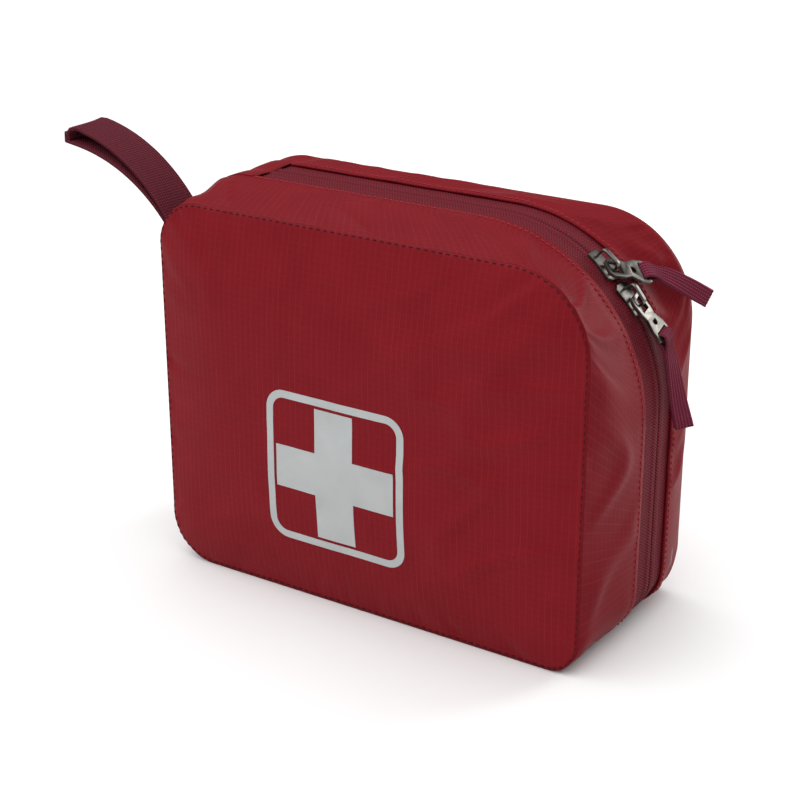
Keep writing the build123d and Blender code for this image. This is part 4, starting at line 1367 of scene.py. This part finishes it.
def hung_sheet(name, y, low, high, inset, thick, wave, material):
    """A flat cut sewn in between the walls, a little slack: it bellies in shallow waves."""
    columns, rows = 60, 32
    points, uv = [], []
    for row in range(rows + 1):
        z = low + (high - low) * row / rows
        a, b = side_limits(z, inset)
        for column in range(columns + 1):
            u = column / columns
            x = a + (b - a) * u
            slack = math.sin(math.pi * u) ** 0.5 * min(row / 4, 1.0)
            belly = wave * slack * noise.noise(Vector((x / 34.0, z / 40.0, y)))
            points.append((x, y + belly, z))
            uv.append((x, z))
    piece = to_mesh(name, points, sheet_faces(rows + 1, columns + 1), uv)
    if thick:
        finish_modifier(piece, "SOLIDIFY", thickness=thick * MM, offset=0)
    piece.data.materials.append(material)
    smooth(piece)
    return piece


def hem(name, y, z, inset):
    """Tape folded over a pocket's mouth: a flattened loop that runs from wall to wall."""
    high = 8.0
    a, b = side_limits(z + high, inset + 0.4)
    stations = []
    for n in range(41):
        x = a + (b - a) * n / 40
        bob = 0.35 * noise.noise(Vector((x / 22.0, z / 9.0, 1.0)))
        stations.append((Vector((x, y + bob, z + high / 2)), Vector((0, 0, 1)), Vector((0, 1, 0)), 1.0))
    return strap(name, stations, high, 1.5, 3, bias_tape)


def middle_y(node):
    """The depth of a CAD node's middle, in millimetres."""
    low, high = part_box(node)
    return (low.y + high.y) / 2 / MM


mesh_top = edge_mm("mesh_pocket", 1, 2)
net_y = middle_y("mesh_pocket")
net_hung = {"inset": LINING_INSET, "thick": 0, "wave": 1.2, "material": knit_mesh}
net = hung_sheet("mesh_pocket_net", net_y, 2.4, mesh_top, **net_hung)
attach(net, "front_shell")
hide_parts("mesh_pocket")
net_hem = hem("mesh_pocket_hem_tape", middle_y("mesh_pocket_hem"), mesh_top, LINING_INSET + 0.3)
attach(net_hem, "front_shell")
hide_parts("mesh_pocket_hem")

divider_top = edge_mm("organizer_panel", 1, 2)
divider_y = middle_y("organizer_panel")
divider_hung = {"inset": 1.7, "thick": 0.5, "wave": 1.0, "material": grey_lining}
divider = hung_sheet("organizer_divider", divider_y, 2.0, divider_top, **divider_hung)
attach(divider, "back_shell")
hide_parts("organizer_panel")
divider_hem = hem("organizer_hem_tape", middle_y("organizer_hem"), divider_top, 2.4)
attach(divider_hem, "back_shell")
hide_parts("organizer_hem")

sleeve_low, sleeve_high = box_mm("dressing_sleeve")


def sleeve_piece():
    """The clear sleeve: its face bellies forward a little, then turns back to the divider."""
    columns, rows, turn_back = 46, 20, 10
    bend_radius = 2.5
    points = []
    face_y, back_y, right = sleeve_low.y + 0.3, sleeve_high.y, sleeve_high.x - 0.3
    for row in range(rows + 1):
        z = LINING_INSET + (sleeve_high.z - LINING_INSET) * row / rows
        left = side_limits(z, LINING_INSET)[0]
        for column in range(columns + 1):
            u = column / columns
            x = left + (right - bend_radius - left) * u
            belly = 0.8 * math.sin(math.pi * u) * noise.noise(Vector((x / 30.0, z / 25.0, 8.0)))
            points.append((x, face_y + belly, z))
        for n in range(1, turn_back + 1):
            part = n / turn_back
            bend = min(part / 0.3, 1.0) * math.pi / 2
            x = right - bend_radius + bend_radius * math.sin(bend)
            y = face_y + bend_radius * (1 - math.cos(bend))
            y += (back_y - face_y - bend_radius) * max(part - 0.3, 0) / 0.7
            points.append((x, y, z))
    faces = sheet_faces(rows + 1, columns + turn_back + 1)
    piece = to_mesh("dressing_sleeve_film", points, faces)
    finish_modifier(piece, "SOLIDIFY", thickness=0.3 * MM, offset=0)
    piece.data.materials.append(clear_vinyl)
    smooth(piece, 50)
    return piece


sleeve = sleeve_piece()
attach(sleeve, "back_shell")
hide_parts("dressing_sleeve")
sleeve_flat = (sleeve_high.x - sleeve_low.x + sleeve_high.y - sleeve_low.y, sleeve_high.z - sleeve_low.z)
sleeve_flat = (sleeve_flat[0] * MM, sleeve_flat[1] * MM)


def binding_hoop(name, y, wide):
    """Bias tape round the raw seam inside a shell, with the small waves that sewing leaves."""
    columns = hoop_columns(3.0)[0]
    stations = []
    for stretch, share, run in columns + columns[:1]:
        out = seam_outward(stretch, share, ZIP_LINE)
        wavy = 0.5 * (1 + noise.noise(Vector((run / 12.0, 0.0, 6.0))))
        at = hoop_point(stretch, share, y, 1.9) - out * wavy
        stations.append((at, Vector((0, 1, 0)), out, 1.0))
    return strap(name, stations, wide, 1.2, 2, bias_tape)


for side in ("front", "back"):
    node = f"{side}_seam_binding"
    low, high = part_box(node)
    hoop = binding_hoop(f"{node}_tape", middle_y(node), (high.y - low.y) / MM)
    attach(hoop, f"{side}_shell")
    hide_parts(node)

# ---- Elastic loops ---------------------------------------------------------------------------------
# Ribbed knitted elastic, sewn down on both sides of the scissors and of the tweezers.
ribbed_elastic, tree, shader = new_material("black ribbed elastic")
# Knitted elastic: lengthwise ribs 1 mm apart with a dull face.
parts = cloth_map(tree)[1]
rib = reckon(tree, "PINGPONG", parts["X"], 0.5)
paint(tree, shader, rib, "#17181a", "#3a3b3f")
relief(tree, shader, rib, 0.6, 0.0004)
shader.inputs["Roughness"].default_value = 0.85

for node in ("scissor_elastic", "tweezer_elastic"):
    low, high = box_mm(node)
    stations = []
    centre_z = (low.z + high.z) / 2
    outline = [(low.x - 3.0, high.y), (low.x + 0.4, high.y - 0.4), (low.x + 0.4, low.y + 2.2)]
    outline += [(low.x + 2.4, low.y + 0.4), (high.x - 2.4, low.y + 0.4)]
    outline += [(high.x - 0.4, low.y + 2.2), (high.x - 0.4, high.y - 0.4), (high.x + 3.0, high.y)]
    line = [Vector((x, y, centre_z)) for x, y in outline]
    dense = []
    for a, b in zip(line, line[1:]):
        dense += [a.lerp(b, n / 5) for n in range(5)]
    dense.append(line[-1])
    for _ in range(4):
        eased = [(a + 2 * b + c) / 4 for a, b, c in zip(dense, dense[1:], dense[2:])]
        dense = [dense[0], *eased, dense[-1]]
    for n, at in enumerate(dense):
        along = heading(dense, n)
        stations.append((at, Vector((0, 0, 1)), along.cross(Vector((0, 0, 1))), 1.0))
    band = strap(f"{node}_band", stations, high.z - low.z, 0.7, 6, ribbed_elastic)
    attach(band, "back_shell")
    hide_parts(node)

# ---- Rolls -----------------------------------------------------------------------------------------
# Two crepe bandages, a gauze roll, and a roll of plaster on a card core. The bandages and the gauze
# are cloth wound up tight, so each end shows its turns; the plaster roll and its core are rounded
# copies of the frame's parts.


def woven_cloth(name, dark, light, thread, depth):
    """A loose cotton weave: crossing threads with open pinholes, matt."""
    material, tree, shader = new_material(name)
    place = own_place(tree)
    parts = add(tree, "ShaderNodeSeparateXYZ", {"Vector": place}).outputs
    warp = reckon(tree, "PINGPONG", parts["X"], thread)
    weft = reckon(tree, "PINGPONG", parts["Z"], thread)
    cross = reckon(tree, "ADD", warp, weft)
    level = add(tree, "ShaderNodeMapRange", {"Value": cross, "From Max": 2 * thread})
    uneven = speckle(tree, place, 240.0, 3.0)
    height = reckon(tree, "ADD", level.outputs[0], uneven)
    half = reckon(tree, "MULTIPLY", height, 0.5)
    paint(tree, shader, half, dark, light)
    relief(tree, shader, height, depth, 0.0004)
    shader.inputs["Roughness"].default_value = 0.9
    return material


crepe_cloth = woven_cloth("cream crepe bandage", "#cdb795", "#eadcc2", thread=0.0009, depth=0.8)
gauze_cloth = woven_cloth("white gauze", "#d9d9d4", "#f6f6f2", thread=0.0007, depth=0.5)
zinc_plaster = woven_cloth("zinc oxide plaster", "#d8bb94", "#ecd5b2", thread=0.0005, depth=0.3)


def wound_roll(name, low, high, ply, material):
    """Cloth wound along X: a spiral strip with a wall, whose last turn ends in a free edge."""
    length = high.x - low.x
    radius = (high.z - low.z) / 2 - 0.2
    centre = Vector((0, (low.y + high.y) / 2, (low.z + high.z) / 2))
    turns = radius / ply - 1.0
    steps = int(turns * 30)
    stations = 5
    points = []
    for n in range(steps + 1):
        angle = math.tau * turns * n / steps
        spiral = 1.0 + (radius - 1.0) * n / steps
        spiral += 0.12 * noise.noise(Vector((math.cos(angle) * 1.5, math.sin(angle) * 1.5, spiral / 4)))
        for m in range(stations):
            share = m / (stations - 1)
            ragged = 0.5 * noise.noise(Vector((angle, share * 9, length)))
            x = low.x + 0.6 + (length - 1.2) * share + (ragged if m in (0, stations - 1) else 0)
            points.append((x, centre.y + spiral * math.cos(angle), centre.z + spiral * math.sin(angle)))
    piece = to_mesh(name, points, sheet_faces(steps + 1, stations))
    finish_modifier(piece, "SOLIDIFY", thickness=ply * 0.72 * MM, offset=0)
    piece.data.materials.append(material)
    smooth(piece, 50)
    return piece


crepe_low, crepe_high = box_mm("crepe_bandages")
roll_gap = 3.0
roll_long = (crepe_high.x - crepe_low.x - roll_gap) / 2
for n in range(2):
    a = Vector((crepe_low.x + n * (roll_long + roll_gap), crepe_low.y, crepe_low.z))
    b = Vector((a.x + roll_long, crepe_high.y, crepe_high.z))
    bandage = wound_roll(f"crepe_bandage_{n + 1}", a, b, ply=1.7, material=crepe_cloth)
    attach(bandage, "front_shell")
    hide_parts("crepe_bandages")

gauze_low, gauze_high = box_mm("gauze_roll")
gauze = wound_roll("gauze_roll_wound", gauze_low, gauze_high, ply=1.2, material=gauze_cloth)
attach(gauze, "front_shell")
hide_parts("gauze_roll")

rolled_card, tree, shader = new_material("rolled grey card")
# Spiral-wound board: dull, with a fibrous cut edge.
place = own_place(tree)
fibre = speckle(tree, place, 800.0, 4.0)
paint(tree, shader, fibre, "#8a7355", "#b59b78")
relief(tree, shader, fibre, 0.3, 0.0002)
shader.inputs["Roughness"].default_value = 0.85

for node, material, slot in (
    ("plaster_roll", zinc_plaster, "adhesive_tape"),
    ("plaster_roll_core", rolled_card, "card_core"),
):
    ring = eased_copy(node, f"{node}_wound", 0.35)
    ring.data.materials.append(material)
    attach(ring, "front_shell")
    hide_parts(node)

# ---- Packs -----------------------------------------------------------------------------------------
# Sealed sachets: gloves in frosted film, two dressings in paper, and a foil rescue blanket. Each
# is two webs welded together round the rim, puffed by what is inside, with creases in its film.


def film(name, dark, light, roughness, metal, crease):
    """Thin packing film or paper, creased finely all over."""
    material, tree, shader = new_material(name)
    place = own_place(tree)
    creases = add(tree, "ShaderNodeTexVoronoi", {"Vector": place, "Scale": 110.0})
    soft = speckle(tree, place, 160.0, 4.0)
    height = reckon(tree, "ADD", creases.outputs["Distance"], soft)
    paint(tree, shader, soft, dark, light)
    relief(tree, shader, height, crease, 0.0012)
    dullness(tree, shader, soft, roughness - 0.06, roughness + 0.08)
    shader.inputs["Metallic"].default_value = metal
    return material


glove_film = film("frosted blue glove film", "#8fb0c9", "#b9d2e2", roughness=0.4, metal=0.0, crease=0.25)
dressing_paper = film("sealed dressing paper", "#dcdde0", "#f4f4f5", roughness=0.75, metal=0.0, crease=0.15)
rescue_foil = film("metallised rescue foil", "#a9acb2", "#d6d8dc", roughness=0.22, metal=1.0, crease=0.7)


def sachet(name, low, high, rim, seed, material):
    """Two puffed webs with a flat welded rim; the puffing creases in from the corners."""
    columns, rows = 44, 34
    points, faces = [], []
    mid_y, thick = (low.y + high.y) / 2, (high.y - low.y) / 2
    for layer in (-1, 1):
        for row in range(rows + 1):
            for column in range(columns + 1):
                u, v = column / columns, row / rows
                x, z = low.x + (high.x - low.x) * u, low.z + (high.z - low.z) * v
                inward = min(x - low.x, high.x - x, z - low.z, high.z - z)
                inside = max(inward - rim, 0.0)
                puff = (1 - math.exp(-inside / 4.0)) * (thick - 0.35)
                puff *= 0.82 + 0.3 * noise.noise(Vector((x / 14.0, z / 14.0, seed + layer)))
                rumple = 0.25 * noise.noise(Vector((x / 5.0, z / 5.0, seed)))
                y = mid_y + layer * (0.18 + puff) + rumple * min(thick / 3, 1.0)
                points.append((x, min(max(y, low.y), high.y), z))
    side = (columns + 1) * (rows + 1)
    for row in range(rows):
        for column in range(columns):
            a = row * (columns + 1) + column
            quad = (a, a + 1, a + columns + 2, a + columns + 1)
            faces.append(quad)
            faces.append(tuple(i + side for i in quad[::-1]))
    border = list(range(columns)) + [columns + r * (columns + 1) for r in range(rows)]
    border += [side - 1 - c for c in range(columns)] + [(rows - r) * (columns + 1) for r in range(rows)]
    for n, a in enumerate(border):
        b = border[(n + 1) % len(border)]
        faces.append((b, a, a + side, b + side))
    piece = to_mesh(name, points, faces)
    turn_faces_out(piece)
    piece.data.materials.append(material)
    smooth(piece, 60)
    return piece


glove_low, glove_high = box_mm("glove_pack")
gloves = sachet("glove_pack_sachet", glove_low, glove_high, rim=4.0, seed=2.0, material=glove_film)
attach(gloves, "front_shell")
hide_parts("glove_pack")
foil_low, foil_high = box_mm("foil_blanket_pack")
blanket = sachet("foil_blanket_sachet", foil_low, foil_high, rim=4.0, seed=5.0, material=rescue_foil)
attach(blanket, "back_shell")
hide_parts("foil_blanket_pack")
dressing_low, dressing_high = box_mm("dressing_packs")
pack_thick = (dressing_high.y - dressing_low.y - 0.3) / 2
for n in range(2):
    raised = 3.0 * n
    a = Vector((dressing_low.x, dressing_low.y + n * (pack_thick + 0.3), dressing_low.z + raised))
    b = Vector((dressing_high.x, a.y + pack_thick, dressing_high.z - 3.0 + raised))
    pack = sachet(f"dressing_pack_{n + 1}", a, b, rim=5.0, seed=9.0 + n, material=dressing_paper)
    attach(pack, "back_shell")
    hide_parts("dressing_packs")

# ---- Plaster box -----------------------------------------------------------------------------------
# A folded card box of plasters with a tuck flap, printed with plain colour bands.
printed_card, tree, shader = new_material("printed card")
# Coated board: smooth and slightly glossy, white with two blue-green bands.
place = own_place(tree)
parts = add(tree, "ShaderNodeSeparateXYZ", {"Vector": place}).outputs
box_low, box_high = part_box("plaster_box")
height = add(
    tree,
    "ShaderNodeMapRange",
    {"Value": parts["Z"], "From Min": box_low.z, "From Max": box_high.z},
)
bands = add(tree, "ShaderNodeValToRGB", {"Fac": height.outputs["Result"]})
bands.color_ramp.interpolation = "CONSTANT"
bands.color_ramp.elements[0].color = linear("#2f7f86")
bands.color_ramp.elements[1].position = 0.22
bands.color_ramp.elements[1].color = linear("#eef0f0")
for position, colour in ((0.72, "#9fd0cf"), (0.78, "#eef0f0")):
    stop = bands.color_ramp.elements.new(position)
    stop.color = linear(colour)
tree.links.new(bands.outputs["Color"], shader.inputs["Base Color"])
fibre = speckle(tree, place, 500.0, 3.0)
relief(tree, shader, fibre, 0.08, 0.0003)
dullness(tree, shader, fibre, 0.35, 0.5)

bpy.ops.object.select_all(action="DESELECT")
bpy.ops.mesh.primitive_cube_add(size=1, location=(box_low + box_high) / 2)
carton = bpy.context.object
carton.name = "plaster_box_carton"
carton.scale = (box_high.x - box_low.x, box_high.y - box_low.y, box_high.z - box_low.z)
bpy.ops.object.transform_apply()
bpy.ops.object.mode_set(mode="EDIT")
bpy.ops.mesh.select_mode(type="FACE")
bpy.ops.mesh.select_all(action="DESELECT")
bpy.ops.object.mode_set(mode="OBJECT")
for polygon in carton.data.polygons:
    polygon.select = polygon.normal.z > 0.9
bpy.ops.object.mode_set(mode="EDIT")
# the tuck flap stands a little back from the walls round it
bpy.ops.mesh.inset(thickness=0.0005)
bpy.ops.transform.translate(value=(0, 0, -0.0006))
bpy.ops.mesh.select_all(action="SELECT")
bpy.ops.mesh.subdivide(number_cuts=5)
bpy.ops.object.mode_set(mode="OBJECT")
for vertex in carton.data.vertices:
    # the card's two broad faces bow in slightly between its folds
    edge = min(abs(vertex.co.x - box_low.x), abs(vertex.co.x - box_high.x)) / (box_high.x - box_low.x)
    sign = 1 if vertex.co.y > (box_low.y + box_high.y) / 2 else -1
    vertex.co.y -= sign * 0.6 * MM * math.sin(math.pi * min(edge, 0.5))
folds = {"width": 0.25 * MM, "segments": 2, "limit_method": "ANGLE", "angle_limit": math.radians(40)}
finish_modifier(carton, "BEVEL", **folds)
carton.data.materials.append(printed_card)
smooth(carton, 40)
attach(carton, "back_shell")
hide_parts("plaster_box")

# ---- Scissors and tweezers -------------------------------------------------------------------------
# Stamped stainless: two scissor halves on a rivet, and tweezers folded from one strip.
satin_steel, tree, shader = new_material("satin stainless steel")
# Belt-ground: fine lines along the length, bright but not mirrored.
place = own_place(tree)
grinding = {"Vector": place, "Scale": (3000.0, 3000.0, 60.0)}
stretch_map = add(tree, "ShaderNodeMapping", grinding).outputs[0]
lines = speckle(tree, stretch_map, 1.0, 2.0)
paint(tree, shader, lines, "#b2b4b6", "#d5d7d8")
relief(tree, shader, lines, 0.1, 0.0001)
dullness(tree, shader, lines, 0.22, 0.36)
shader.inputs["Metallic"].default_value = 1.0

for node, body, ease in (
    ("scissor_blade_back", "back_shell", 0.3),
    ("scissor_blade_front", "scissor_half", 0.3),
    ("scissor_rivet", "back_shell", 0.2),
    ("tweezers", "back_shell", 0.2),
):
    tool = eased_copy(node, f"{node}_steel", ease)
    tool.data.materials.append(satin_steel)
    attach(tool, body)
    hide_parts(node)
